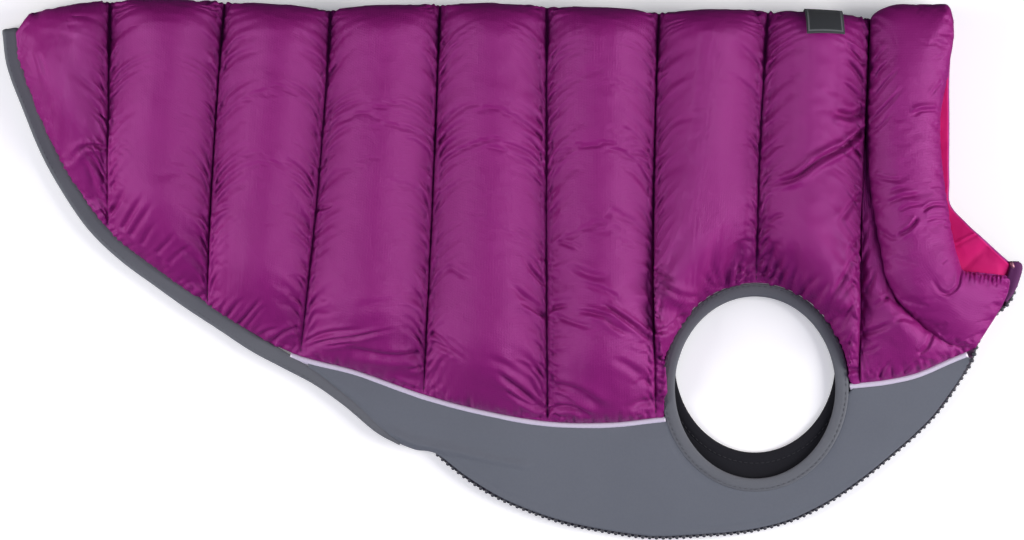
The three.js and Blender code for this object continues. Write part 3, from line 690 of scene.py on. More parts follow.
def run_simulation():
    cols, g1, p1 = near_sheet()
    pin1 = np.zeros(g1.shape[:2], bool)
    start = 0
    for n in PER_CHANNEL:
        pin1[start] = True
        start += n
    pin1[-1] = True
    pin1[:, 0] = True
    pin1[:, -1] = True
    rows, g2, p2 = collar_sheet()
    pin2 = np.zeros(g2.shape[:2], bool)
    pin2[0] = pin2[-1] = True
    pin2[:, 0] = pin2[:, -1] = True
    crow, g3, p3 = chest_sheet()
    pin3 = np.zeros(g3.shape[:2], bool)
    pin3[0] = pin3[-1] = True
    pin3[:, 0] = pin3[:, -1] = True
    def near(grid, pinned, reach):
        """1 at a pinned seam, falling off over reach millimetres."""
        n, m = grid.shape[:2]
        d = np.full((n, m), 1e3)
        d[pinned] = 0
        for _ in range(24):
            for ax in (0, 1):
                step = np.linalg.norm(np.diff(grid, axis=ax), axis=-1)
                a = [slice(None)] * 2
                b = [slice(None)] * 2
                a[ax], b[ax] = slice(0, -1), slice(1, None)
                a, b = tuple(a), tuple(b)
                d[b] = np.minimum(d[b], d[a] + step)
                d[a] = np.minimum(d[a], d[b] + step)
        return np.exp(-((d / reach) ** 2))

    # short feathered creases that run down into each quilting line from both sides
    first = np.concatenate([[0], np.cumsum(PER_CHANNEL)])
    feather1 = np.zeros(g1.shape[:2])
    rise = lengths_down(g1)
    for k in range(len(PER_CHANNEL)):
        a, b = first[k], min(first[k + 1], g1.shape[0] - 1)
        for edge, way in ((a, 1), (b, -1)):
            for n in range(a, b + 1):
                off = np.linalg.norm(g1[n, :, :2] - g1[edge, :, :2], axis=1)
                fall = np.exp(-((off / 12.0) ** 2)) * np.minimum(1, off / 2.5)
                line = rise[n] - off * (0.55 + 0.25 * value_noise(np.stack([rise[n] * 0 + k, rise[n]], 1), 25.0, 11 + k))
                wave = np.sin(2 * math.pi * (line / 7.6 + 1.4 * value_noise(np.stack([rise[n] * 0 + 3 * k + way, line], 1), 13.0, 21 + k)))
                strength = 0.35 + 0.65 * np.clip(value_noise(np.stack([rise[n] * 0 + 5 * k + way, line], 1), 17.0, 31 + k) + 0.5, 0, 1)
                feather1[n] += FEATHER * fall * wave * strength
    feather2 = FEATHER * 0.8 * np.sin(2 * math.pi * (p2[..., 1] * 0.8 + p2[..., 0] * 0.6) / 6.0 + 3 * value_noise(p2, 14.0, 51)) * near(g2, pin2, 9.0)
    feather3 = FEATHER * 0.6 * np.sin(2 * math.pi * (p3[..., 0] - p3[..., 1] * 0.4) / 6.0 + 3 * value_noise(p3, 12.0, 52)) * near(g3, pin3, 8.0)
    sheets = [
        (g1, p1, pin1, near(g1, pin1, 10.0), feather1),
        (g2[:, ::-1], p2[:, ::-1], pin2[:, ::-1], near(g2, pin2, 7.0)[:, ::-1], feather2[:, ::-1]),
        (g3, p3, pin3, near(g3, pin3, 7.0), feather3),
    ]
    for k, (g, *_ ) in enumerate(sheets):
        n = np.cross(g[1:, :-1] - g[:-1, :-1], g[:-1, 1:] - g[:-1, :-1])[..., 2].sum()
        print("sheet", k, "faces up" if n > 0 else "faces down")
    return cols, g1, g2, g3, sheets


# ---------------------------------------------------------------- materials


def new_material(name, color, roughness, **sockets):
    mat = bpy.data.materials.new(name)
    mat.use_nodes = True
    bsdf = mat.node_tree.nodes["Principled BSDF"]
    bsdf.inputs["Base Color"].default_value = (*color, 1)
    bsdf.inputs["Roughness"].default_value = roughness
    for key, value in sockets.items():
        bsdf.inputs[key.replace("_", " ")].default_value = value
    return mat, mat.node_tree.nodes, mat.node_tree.links, bsdf


def node(nodes, kind, **values):
    n = nodes.new(kind)
    for key, value in values.items():
        if key in n.inputs.keys():
            n.inputs[key].default_value = value
        else:
            setattr(n, key, value)
    return n


def math_node(nodes, links, op, a, b=None):
    n = nodes.new("ShaderNodeMath")
    n.operation = op
    for i, v in enumerate((a, b)):
        if v is None:
            continue
        if isinstance(v, (int, float)):
            n.inputs[i].default_value = v
        else:
            links.new(v, n.inputs[i])
    return n.outputs[0]


def weave_height(nodes, links, coord, pitch_mm, ripstop_mm=None, ripstop_gain=0.0):
    """Plain weave of a pitch, with raised ripstop threads on a wider grid."""
    sep = nodes.new("ShaderNodeSeparateXYZ")
    links.new(coord, sep.inputs[0])

    def wave(axis, pitch):
        k = math_node(nodes, links, "MULTIPLY", sep.outputs[axis], 2 * math.pi / (pitch * MM))
        return math_node(nodes, links, "SINE", k)

    h = math_node(nodes, links, "MULTIPLY", wave(0, pitch_mm), wave(1, pitch_mm))
    if ripstop_mm:
        gx = math_node(nodes, links, "POWER", math_node(nodes, links, "ABSOLUTE", wave(0, 2 * ripstop_mm)), 26)
        gy = math_node(nodes, links, "POWER", math_node(nodes, links, "ABSOLUTE", wave(1, 2 * ripstop_mm)), 26)
        grid = math_node(nodes, links, "MAXIMUM", gx, gy)
        h = math_node(nodes, links, "ADD", math_node(nodes, links, "MULTIPLY", h, 0.35),
                      math_node(nodes, links, "MULTIPLY", grid, ripstop_gain))
    return h


def vary_color(nodes, links, bsdf, coord, color, scale, amount, hue=0.0, extra=None):
    noise = node(nodes, "ShaderNodeTexNoise", Scale=scale, Detail=4.0, Roughness=0.6)
    links.new(coord, noise.inputs["Vector"])
    ramp = nodes.new("ShaderNodeMixRGB")
    lo = [max(0, c * (1 - amount)) for c in color]
    hi = [c * (1 + amount) for c in color]
    lo[2] *= 1 + hue
    ramp.inputs[1].default_value = (*lo, 1)
    ramp.inputs[2].default_value = (*hi, 1)
    links.new(noise.outputs["Fac"], ramp.inputs[0])
    out = ramp.outputs[0]
    if extra is not None:
        out = extra(out)
    links.new(out, bsdf.inputs["Base Color"])
    return noise


def shell_material():
    color = SHELL_COLOR
    mat, nodes, links, bsdf = new_material("shell_purple", color, 0.40)
    bsdf.inputs["Specular IOR Level"].default_value = 0.55
    bsdf.inputs["Specular Tint"].default_value = (1.0, 0.38, 0.95, 1)
    bsdf.inputs["Sheen Weight"].default_value = 0.06
    bsdf.inputs["Sheen Roughness"].default_value = 0.35
    bsdf.inputs["Sheen Tint"].default_value = (0.7, 0.3, 0.85, 1)
    uv = nodes.new("ShaderNodeUVMap")
    uv.uv_map = "cloth"
    tex = nodes.new("ShaderNodeTexCoord")
    vary_color(nodes, links, bsdf, tex.outputs["Object"], color, 26.0, 0.10)
    h = weave_height(nodes, links, uv.outputs["UV"], 0.34, 1.25, 1.0)
    # small crinkles of thin nylon
    crinkle = node(nodes, "ShaderNodeTexNoise", Scale=170.0, Detail=3.0, Roughness=0.55)
    links.new(uv.outputs["UV"], crinkle.inputs["Vector"])
    bump1 = node(nodes, "ShaderNodeBump", Strength=0.55, Distance=0.00012)
    links.new(h, bump1.inputs["Height"])
    bump2 = node(nodes, "ShaderNodeBump", Strength=0.35, Distance=0.0006)
    links.new(crinkle.outputs["Fac"], bump2.inputs["Height"])
    links.new(bump1.outputs["Normal"], bump2.inputs["Normal"])
    links.new(bump2.outputs["Normal"], bsdf.inputs["Normal"])
    rough = node(nodes, "ShaderNodeTexNoise", Scale=60.0, Detail=2.0)
    links.new(tex.outputs["Object"], rough.inputs["Vector"])
    mr = node(nodes, "ShaderNodeMapRange")
    mr.inputs["To Min"].default_value = 0.30
    mr.inputs["To Max"].default_value = 0.42
    links.new(rough.outputs["Fac"], mr.inputs["Value"])
    links.new(mr.outputs["Result"], bsdf.inputs["Roughness"])
    return mat


def lining_material():
    color = (0.53, 0.0085, 0.134)
    mat, nodes, links, bsdf = new_material("lining_pink", color, 0.5)
    bsdf.inputs["Specular IOR Level"].default_value = 0.25
    bsdf.inputs["Specular Tint"].default_value = (1.0, 0.4, 0.7, 1)
    tex = nodes.new("ShaderNodeTexCoord")
    vary_color(nodes, links, bsdf, tex.outputs["Object"], color, 45.0, 0.12)
    h = weave_height(nodes, links, tex.outputs["Object"], 0.4)
    bump = node(nodes, "ShaderNodeBump", Strength=0.3, Distance=0.0001)
    links.new(h, bump.inputs["Height"])
    links.new(bump.outputs["Normal"], bsdf.inputs["Normal"])
    return mat


def knit_material(name, color, rough, wale=0.55, grain=0.10):
    mat, nodes, links, bsdf = new_material(name, color, rough)
    bsdf.inputs["Sheen Weight"].default_value = 0.12
    bsdf.inputs["Sheen Roughness"].default_value = 0.5
    bsdf.inputs["Specular IOR Level"].default_value = 0.3
    tex = nodes.new("ShaderNodeTexCoord")
    fine = node(nodes, "ShaderNodeTexNoise", Scale=900.0, Detail=2.0)
    links.new(tex.outputs["Object"], fine.inputs["Vector"])

    def grainy(out):
        mix = nodes.new("ShaderNodeMixRGB")
        mix.blend_type = "MULTIPLY"
        mix.inputs[0].default_value = grain
        links.new(out, mix.inputs[1])
        links.new(fine.outputs["Fac"], mix.inputs[2])
        return mix.outputs[0]

    vary_color(nodes, links, bsdf, tex.outputs["Object"], color, 14.0, 0.06, extra=grainy)
    h = weave_height(nodes, links, tex.outputs["Object"], wale)
    bump = node(nodes, "ShaderNodeBump", Strength=0.35, Distance=0.00012)
    links.new(h, bump.inputs["Height"])
    bump2 = node(nodes, "ShaderNodeBump", Strength=0.2, Distance=0.0001)
    links.new(fine.outputs["Fac"], bump2.inputs["Height"])
    links.new(bump.outputs["Normal"], bump2.inputs["Normal"])
    links.new(bump2.outputs["Normal"], bsdf.inputs["Normal"])
    return mat


def plain_material(name, color, rough, scale=300.0, strength=0.2, distance=0.0001, **sockets):
    mat, nodes, links, bsdf = new_material(name, color, rough, **sockets)
    tex = nodes.new("ShaderNodeTexCoord")
    n = vary_color(nodes, links, bsdf, tex.outputs["Object"], color, scale, 0.10)
    bump = node(nodes, "ShaderNodeBump", Strength=strength, Distance=distance)
    links.new(n.outputs["Fac"], bump.inputs["Height"])
    links.new(bump.outputs["Normal"], bsdf.inputs["Normal"])
    return mat


SHELL_COLOR = (0.236, 0.0116, 0.149)

shell_mat = shell_material()
lining_mat = lining_material()
stretch_mat = knit_material("stretch_grey", (0.131, 0.143, 0.170), 0.82)
binding_mat = knit_material("binding_grey", (0.128, 0.135, 0.152), 0.82, wale=0.7)
# the grey cloth's inner faces: its own dark reverse, made darker still with painted shade because they lie inside the
# hole
inner_reverse_and_painted_shade_mat = knit_material("stretch_inner_painted_shade", (0.013, 0.013, 0.017), 0.9)
inner_reverse_and_painted_shade_mat.node_tree.nodes["Principled BSDF"].inputs["Specular IOR Level"].default_value = 0.12
piping_mat = plain_material("piping_reflective", (0.66, 0.60, 0.72), 0.38, 900.0, 0.25, 0.00008, Metallic=0.15)
zip_mat = plain_material("zip_dark", (0.050, 0.050, 0.062), 0.45, 600.0, 0.15)
tape_mat = knit_material("zip_tape", (0.060, 0.018, 0.055), 0.8)
thread_mat = plain_material("thread_grey", (0.085, 0.088, 0.100), 0.7, 1500.0, 0.3)
# a darker copy of the grey thread: painted shade on the stitches inside the far ring
thread_grey_painted_shade = plain_material("thread_grey_painted_shade", (0.022, 0.022, 0.027), 0.8, 1500.0, 0.3)
thread_purple = plain_material("thread_purple", (0.10, 0.010, 0.075), 0.6, 1500.0, 0.3)
label_mat = knit_material("label_grey", (0.036, 0.040, 0.044), 0.65, wale=0.35)
label_edge = knit_material("label_edge", (0.15, 0.16, 0.165), 0.65, wale=0.35)
hood_mat = knit_material("zip_garage", (0.105, 0.012, 0.098), 0.6, wale=0.4)
# the slider's metal is tinted pink: a painted reflection of the pink lining
slider_pink_reflection_mat = plain_material("slider_metal_painted_reflection", (0.36, 0.16, 0.21), 0.38, 500.0, 0.1, Metallic=0.6)


def dress(obj, mat):
    obj.data.materials.clear()
    obj.data.materials.append(mat)
    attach(obj, "root")
    return obj


def stitches(name, path, normal, pitch, length, thick, mat):
    """A row of short threads along a path, as one joined mesh."""
    sums = lengths(path)
    count = int(sums[-1] / pitch)
    verts, faces = [], []
    for k in range(count):
        s = (k + 0.5) * pitch
        p = at_length(path, sums, s)
        q = at_length(path, sums, min(s + 0.05, sums[-1]))
        t = q - p
        t = t / max(1e-9, np.linalg.norm(t))
        nn = at_length(normal, sums, s)
        side = np.cross(nn, t)
        side /= max(1e-9, np.linalg.norm(side))
        base = len(verts)
        for u, r, lift in ((-0.5, 0.35, -0.6), (-0.3, 1.0, 0.15), (0, 1.1, 0.4), (0.3, 1.0, 0.15), (0.5, 0.35, -0.6)):
            c = p + t * (u * length) + nn * (lift * thick)
            for a in range(6):
                w = a * math.pi / 3
                verts.append(c + (side * math.cos(w) + nn * math.sin(w)) * thick / 2 * r)
        for i in range(4):
            for a in range(6):
                faces.append([base + i * 6 + a, base + i * 6 + (a + 1) % 6, base + (i + 1) * 6 + (a + 1) % 6, base + (i + 1) * 6 + a])
        faces.append([base + a for a in range(6)][::-1])
        faces.append([base + 24 + a for a in range(6)])
    obj = mesh_object(name, np.array(verts), faces)
    dress(obj, mat)
    return obj


# ---------------------------------------------------------------- build: padded pieces

cols, g1, g2, g3, sheets = run_simulation()
moved = simulate(sheets, SIM_FRAMES)


def capped(start, end, cap):
    """end, with no point further than cap millimetres from start."""
    d = end - start
    far = np.linalg.norm(d, axis=-1, keepdims=True)
    return start + d * np.minimum(1, cap / np.maximum(far, 1e-6))


def loop_uv(rings, plan_x=None):
    """Cloth coordinates of rings: distance along the stations and round each ring, in millimetres."""
    n, m = rings.shape[:2]
    around = np.zeros((n, m))
    around[:, 1:] = np.cumsum(np.linalg.norm(np.diff(rings, axis=1), axis=-1), axis=1)
    across = np.zeros((n, m))
    mid = rings[:, m // 4]
    across[1:] = np.cumsum(np.linalg.norm(np.diff(mid, axis=0), axis=1))[:, None]
    return np.stack([across, around], -1)


def px(*points):
    """Millimetres of points given in the photograph's 1024 by 540 frame."""
    return [((x - 512) * PX, (270 - y) * PX) for x, y in points]


def stroke(P, dz, pts, width, depth, fade=(0.0, 0.0), up=0.55, down=0.3):
    """Adds one crease to the heights dz of the points P: a groove along pts, with a ridge on each side of it."""
    pts = np.asarray(pts, float)
    if len(pts) > 2:
        ends = np.vstack([2 * pts[0] - pts[1], pts, 2 * pts[-1] - pts[-2]])
        out = []
        for k in range(1, len(ends) - 2):
            p0, p1, p2, p3 = ends[k - 1 : k + 3]
            for f in (0, 1 / 3, 2 / 3) if len(pts) > 3 else (0, 0.5):
                out.append(0.5 * (2 * p1 + (p2 - p0) * f + (2 * p0 - 5 * p1 + 4 * p2 - p3) * f**2 + (3 * p1 - p0 - 3 * p2 + p3) * f**3))
        pts = np.array(out + [pts[-1]])
    lo, hi = pts.min(0) - 5 * width, pts.max(0) + 5 * width
    rows = np.flatnonzero(np.any(np.all((P >= lo) & (P <= hi), -1), 1))
    if not len(rows):
        return
    a, b = rows[0], rows[-1] + 1
    part = P[a:b]
    near, side, along = np.full(part.shape[:2], 1e9), np.zeros(part.shape[:2]), np.zeros(part.shape[:2])
    done = 0.0
    for p, q in zip(pts[:-1], pts[1:]):
        d = q - p
        size = np.hypot(*d)
        k = np.clip(((part - p) @ d) / (size * size), 0, 1)
        r = part - p - k[..., None] * d
        dist = np.hypot(r[..., 0], r[..., 1])
        new = dist < near
        near = np.where(new, dist, near)
        side = np.where(new, d[0] * r[..., 1] - d[1] * r[..., 0], side)
        along = np.where(new, done + k * size, along)
        done += size
    t = along / done
    env = np.ones_like(t)
    if fade[0] > 0:
        env = env * smooth(t, -0.02, fade[0])
    if fade[1] > 0:
        env = env * (1 - smooth(t, 1 - fade[1], 1.02))
    x = near * np.sign(side) / width
    dz[a:b] += depth * env * (-np.exp(-(x**2)) + up * np.exp(-(((x - 1.7) / 1.3) ** 2)) + down * np.exp(-(((x + 1.7) / 1.3) ** 2)))


def feathers(P, dz, seam, side, y_low, y_high, r, slope=1.5, step=(4.6, 7.6), reach=(5.0, 10.0), depth=(0.5, 1.25), width=(0.75, 1.25)):
    """Short creases that run down into a seam line. seam gives x for y, side is 1 to its right and -1 to its left."""
    y = y_low + r.uniform(0, step[1])
    while y < y_high:
        far = r.uniform(*reach)
        k = (slope(y) if callable(slope) else slope) * r.uniform(0.7, 1.3)
        x0 = seam(y)
        pts = [(x0 + side * 0.4, y), (x0 + side * far * 0.4, y + k * far * 0.55), (x0 + side * far, y + k * far)]
        big = r.uniform(*depth) * (0.7 + 0.3 * math.sin(y / 17.0 + 3 * x0))
        stroke(P, dz, pts, r.uniform(*width), big, fade=(0.0, 0.6), up=0.7, down=0.3)
        y += r.uniform(*step)


def gathers(P, dz, line, sums, s0, s1, r, step=(3.2, 5.2), reach=(4.0, 10.0), depth=(0.35, 0.8), lean=0.0, width=(0.7, 1.1), away=1):
    """Short creases that start on a line and run away from it, to its left if away is 1."""
    s = s0 + r.uniform(0, step[1])
    while s < s1:
        p = at_length(line, sums, s)
        q = at_length(line, sums, min(s + 0.5, sums[-1]))
        t = (q - p) / max(1e-9, np.linalg.norm(q - p))
        n = np.array((-t[1], t[0])) * away
        far = r.uniform(*reach)
        k = (lean(s) if callable(lean) else lean) + r.uniform(-0.25, 0.25)
        d = n + t * k
        d /= np.linalg.norm(d)
        mid = p + d * far * 0.5 + t * r.uniform(-0.05, 0.05) * far
        stroke(P, dz, [p - n * 0.6, mid, p + d * far], r.uniform(*width), r.uniform(*depth), fade=(0.0, 0.8))
        s += r.uniform(*step)


# folds that the photograph shows, as (points in its frame, width, depth, (fade in, fade out), ridge above, ridge below)
FOLDS = [
    # first channel
    ([(60, 164), (72, 160), (82, 149), (95, 146), (107, 149)], 1.0, 1.2, (0.1, 0.1), 0.7, 0.7),
    ([(66, 156), (78, 152), (84, 144)], 0.8, 0.7, (0.3, 0.4), 0.5, 0.4),
    ([(84, 160), (92, 178), (97, 195)], 1.3, 0.8, (0.3, 0.5), 0.5, 0.3),
    ([(30, 46), (36, 70), (40, 92)], 1.6, 0.7, (0.3, 0.5), 0.5, 0.3),
    ([(40, 52), (46, 72), (49, 84)], 1.0, 0.7, (0.3, 0.5), 0.4, 0.3),
    ([(54, 98), (50, 106), (47, 112)], 1.0, 0.6, (0.3, 0.5), 0.4, 0.3),
    # low in the second and third
    ([(112, 213), (122, 196), (130, 184)], 1.3, 0.9, (0.0, 0.6), 0.5, 0.3),
    ([(124, 227), (138, 205), (148, 190)], 1.2, 1.1, (0.0, 0.6), 0.5, 0.4),
    ([(132, 234), (146, 214), (158, 197)], 1.1, 0.9, (0.0, 0.6), 0.5, 0.4),
    ([(143, 243), (152, 228), (160, 219)], 1.0, 0.8, (0.0, 0.6), 0.4, 0.3),
    ([(158, 252), (170, 240), (178, 228)], 1.0, 0.9, (0.0, 0.6), 0.4, 0.3),
    ([(170, 262), (184, 250), (196, 244)], 1.0, 0.7, (0.0, 0.6), 0.4, 0.3),
    ([(220, 311), (226, 302), (230, 296)], 0.9, 0.8, (0.0, 0.6), 0.5, 0.4),
    ([(227, 317), (238, 303), (247, 297)], 1.0, 0.9, (0.0, 0.6), 0.5, 0.4),
    ([(240, 324), (252, 310), (264, 296)], 0.9, 1.1, (0.0, 0.5), 0.5, 0.4),
    ([(246, 328), (258, 312), (268, 305)], 0.9, 0.7, (0.0, 0.5), 0.5, 0.4),
    ([(256, 337), (268, 331), (282, 328)], 0.9, 0.8, (0.0, 0.5), 0.5, 0.4),
    ([(268, 345), (280, 335), (292, 329), (303, 328)], 1.0, 1.1, (0.0, 0.3), 0.5, 0.4),
    ([(232, 206), (224, 208), (214, 214)], 1.1, 0.9, (0.4, 0.0), 0.4, 0.6),
    # low in the fourth
    ([(303, 343), (320, 335), (340, 331), (366, 329)], 1.0, 0.9, (0.1, 0.5), 0.6, 0.3),
    ([(309, 345), (332, 340), (354, 337), (374, 333), (398, 328)], 0.85, 1.5, (0.2, 0.4), 0.6, 0.5),
    ([(316, 346), (340, 344), (362, 340)], 0.8, 0.8, (0.3, 0.5), 0.4, 0.5),
    ([(344, 348), (366, 353), (396, 357), (422, 353)], 1.9, 1.5, (0.3, 0.1), 0.6, 0.4),
    ([(352, 308), (376, 304), (404, 299)], 2.2, 0.6, (0.4, 0.4), 0.4, 0.3),
    ([(318, 210), (328, 207), (334, 203)], 0.9, 1.0, (0.0, 0.5), 0.4, 0.5),
    ([(408, 370), (422, 367)], 0.9, 0.8, (0.3, 0.0), 0.4, 0.4),
    # low in the fifth
    ([(523, 255), (531, 269), (543, 284)], 0.9, 1.3, (0.4, 0.0), 0.6, 0.3),
    ([(532, 241), (539, 252), (547, 262)], 0.9, 1.1, (0.4, 0.0), 0.6, 0.3),
    ([(508, 281), (524, 297), (547, 315)], 1.6, 1.3, (0.4, 0.0), 0.6, 0.3),
    ([(519, 301), (533, 309), (547, 318)], 0.9, 1.0, (0.3, 0.0), 0.5, 0.4),
    ([(444, 264), (460, 273), (474, 280)], 1.6, 0.8, (0.3, 0.4), 0.5, 0.3),
    ([(431, 331), (444, 342), (456, 353), (466, 364)], 1.2, 1.2, (0.1, 0.5), 0.6, 0.4),
    ([(432, 341), (446, 349), (460, 360)], 1.0, 1.2, (0.1, 0.5), 0.5, 0.4),
    ([(444, 334), (462, 350), (470, 358)], 1.0, 0.7, (0.3, 0.5), 0.5, 0.4),
    ([(485, 355), (502, 364), (520, 374)], 2.0, 0.8, (0.4, 0.4), 0.5, 0.3),
    ([(494, 369), (510, 382), (524, 393), (538, 405), (548, 409)], 1.5, 1.7, (0.3, 0.0), 0.7, 0.4),
    ([(503, 387), (520, 400), (538, 409)], 1.0, 1.2, (0.3, 0.1), 0.6, 0.4),
    # low in the sixth
    ([(556, 241), (568, 245), (582, 252)], 1.0, 0.8, (0.2, 0.5), 0.5, 0.3),
    ([(568, 264), (582, 272), (596, 277), (611, 275)], 1.8, 1.1, (0.3, 0.4), 0.5, 0.3),
    ([(574, 280), (600, 289), (615, 297), (622, 306)], 1.3, 0.8, (0.4, 0.4), 0.6, 0.3),
    ([(549, 311), (558, 307), (569, 305)], 0.9, 1.1, (0.0, 0.5), 0.4, 0.6),
    ([(576, 310), (600, 315), (613, 325), (630, 335)], 1.1, 1.6, (0.3, 0.3), 0.7, 0.5),
    ([(602, 303), (617, 314), (634, 326), (650, 340)], 1.0, 1.8, (0.2, 0.2), 0.7, 0.5),
    ([(598, 312), (612, 318), (624, 330)], 0.8, 1.0, (0.3, 0.3), 0.6, 0.4),
    ([(557, 316), (575, 323), (597, 329)], 1.2, 1.0, (0.1, 0.5), 0.4, 0.4),
    ([(608, 357), (626, 365), (646, 380)], 2.0, 0.8, (0.4, 0.3), 0.5, 0.3),
    ([(553, 385), (575, 390), (592, 400), (606, 411)], 2.0, 1.5, (0.1, 0.3), 0.6, 0.3),
    ([(553, 392), (570, 400), (582, 408)], 0.9, 0.9, (0.2, 0.4), 0.5, 0.4),
    ([(549, 409), (565, 406), (580, 410), (592, 418)], 1.3, 1.6, (0.0, 0.3), 0.6, 0.5),
    ([(555, 412), (563, 419)], 0.8, 0.8, (0.1, 0.3), 0.4, 0.4),
    ([(628, 409), (644, 402), (661, 399)], 1.8, 1.2, (0.4, 0.0), 0.5, 0.3),
    ([(640, 380), (652, 384), (660, 386)], 1.6, 0.8, (0.4, 0.0), 0.4, 0.3),
    # round the leg hole
    ([(657, 271), (667, 278), (676, 284)], 1.0, 1.3, (0.0, 0.4), 0.6, 0.4),
    ([(661, 284), (672, 291), (684, 296), (698, 298)], 1.1, 1.6, (0.1, 0.1), 0.6, 0.4),
    ([(668, 291), (680, 299), (688, 302)], 0.8, 1.0, (0.2, 0.1), 0.5, 0.4),
    ([(655, 331), (668, 329), (682, 315)], 1.1, 1.6, (0.0, 0.0), 0.4, 0.6),
    ([(736, 282), (739, 266), (743, 251)], 1.0, 1.6, (0.0, 0.5), 0.6, 0.5),
    ([(745, 282), (746, 268), (745, 258)], 0.8, 1.0, (0.0, 0.5), 0.5, 0.5),
    ([(713, 288), (705, 279), (701, 272)], 0.9, 1.2, (0.0, 0.5), 0.5, 0.4),
    ([(719, 286), (714, 272), (710, 260)], 0.9, 1.2, (0.0, 0.5), 0.5, 0.4),
    ([(727, 284), (724, 272), (726, 262)], 0.9, 1.0, (0.0, 0.5), 0.5, 0.4),
    ([(764, 281), (768, 264), (777, 243)], 1.0, 1.3, (0.0, 0.5), 0.4, 0.5),
    ([(768, 283), (778, 268), (785, 252)], 1.0, 1.4, (0.0, 0.5), 0.5, 0.5),
    ([(779, 286), (786, 270), (792, 258)], 1.0, 1.0, (0.0, 0.6), 0.5, 0.5),
    ([(790, 290), (794, 276), (799, 262)], 1.0, 1.2, (0.0, 0.6), 0.5, 0.5),
    ([(800, 297), (808, 285), (822, 271)], 1.1, 1.3, (0.0, 0.6), 0.5, 0.5),
    ([(812, 304), (822, 290), (833, 276)], 1.1, 1.0, (0.0, 0.6), 0.5, 0.5),
    ([(826, 314), (836, 291), (848, 268), (856, 250)], 1.4, 1.2, (0.0, 0.2), 0.6, 0.5),
    ([(831, 312), (843, 294), (855, 277)], 1.1, 0.9, (0.0, 0.3), 0.6, 0.5),
    ([(840, 330), (848, 312), (857, 296)], 1.2, 0.9, (0.0, 0.3), 0.5, 0.5),
    ([(846, 350), (852, 335), (859, 322)], 1.1, 0.8, (0.0, 0.3), 0.5, 0.5),
    ([(849, 372), (855, 370), (861, 371)], 1.0, 1.0, (0.0, 0.0), 0.5, 0.5),
    # eighth
    ([(772, 185), (783, 182), (797, 177), (812, 165), (826, 156), (843, 147), (862, 131)], 1.25, 2.3, (0.25, 0.0), 0.8, 0.9),
    ([(806, 163), (820, 156), (838, 145)], 0.9, 1.1, (0.3, 0.3), 0.6, 0.3),
    ([(834, 112), (848, 117), (862, 112)], 1.9, 2.0, (0.2, 0.0), 0.4, 0.8),
    ([(838, 224), (846, 212), (858, 196)], 1.3, 1.1, (0.2, 0.0), 0.5, 0.4),
    ([(845, 262), (850, 250), (858, 238)], 1.2, 0.8, (0.3, 0.0), 0.5, 0.4),
    ([(844, 44), (852, 52), (862, 64)], 1.1, 1.4, (0.3, 0.0), 0.5, 0.4),
    ([(846, 60), (854, 70), (862, 80)], 1.1, 1.4, (0.3, 0.0), 0.5, 0.4),
    ([(842, 82), (852, 92), (862, 99)], 1.3, 1.2, (0.3, 0.0), 0.5, 0.4),
    ([(770, 220), (776, 216), (784, 214)], 1.0, 0.9, (0.0, 0.5), 0.4, 0.5),
]


def across_columns(grid, at):
    """The grid's columns at fractional stations, without smoothing across a quilting line."""
    first = np.concatenate([[0], np.cumsum(PER_CHANNEL)])
    ch = np.clip(np.searchsorted(first, at, side="right") - 1, 0, len(PER_CHANNEL) - 1)
    a, b = first[ch], np.minimum(first[ch + 1], len(grid) - 1)
    i = np.clip(at.astype(int), a, b - 1)
    f = (at - i).reshape((-1,) + (1,) * (grid.ndim - 1))
    p0, p1, p2, p3 = grid[np.maximum(i - 1, a)], grid[i], grid[i + 1], grid[np.minimum(i + 2, b)]
    p0 = np.where((i - 1 < a).reshape(f.shape), 2 * p1 - p2, p0)
    p3 = np.where((i + 2 > b).reshape(f.shape), 2 * p2 - p1, p3)
    return 0.5 * (2 * p1 + (p2 - p0) * f + (2 * p0 - 5 * p1 + 4 * p2 - p3) * f**2 + (3 * p1 - p0 - 3 * p2 + p3) * f**3), ch


FINE = 64  # columns of the finished cloth in each channel
FINE_ROWS = 400
SEAM_ROUND = 2.7
WRINKLE_LEAN = 2.1
SEAM_LIFT = 2.6


def run_free(count):
    """Rows that are neither at the lower edge nor past the spine."""
    k = np.arange(count)
    return (k > 30) & (k < int((ROWS - 6) / (ROWS + OVER) * FINE_ROWS))


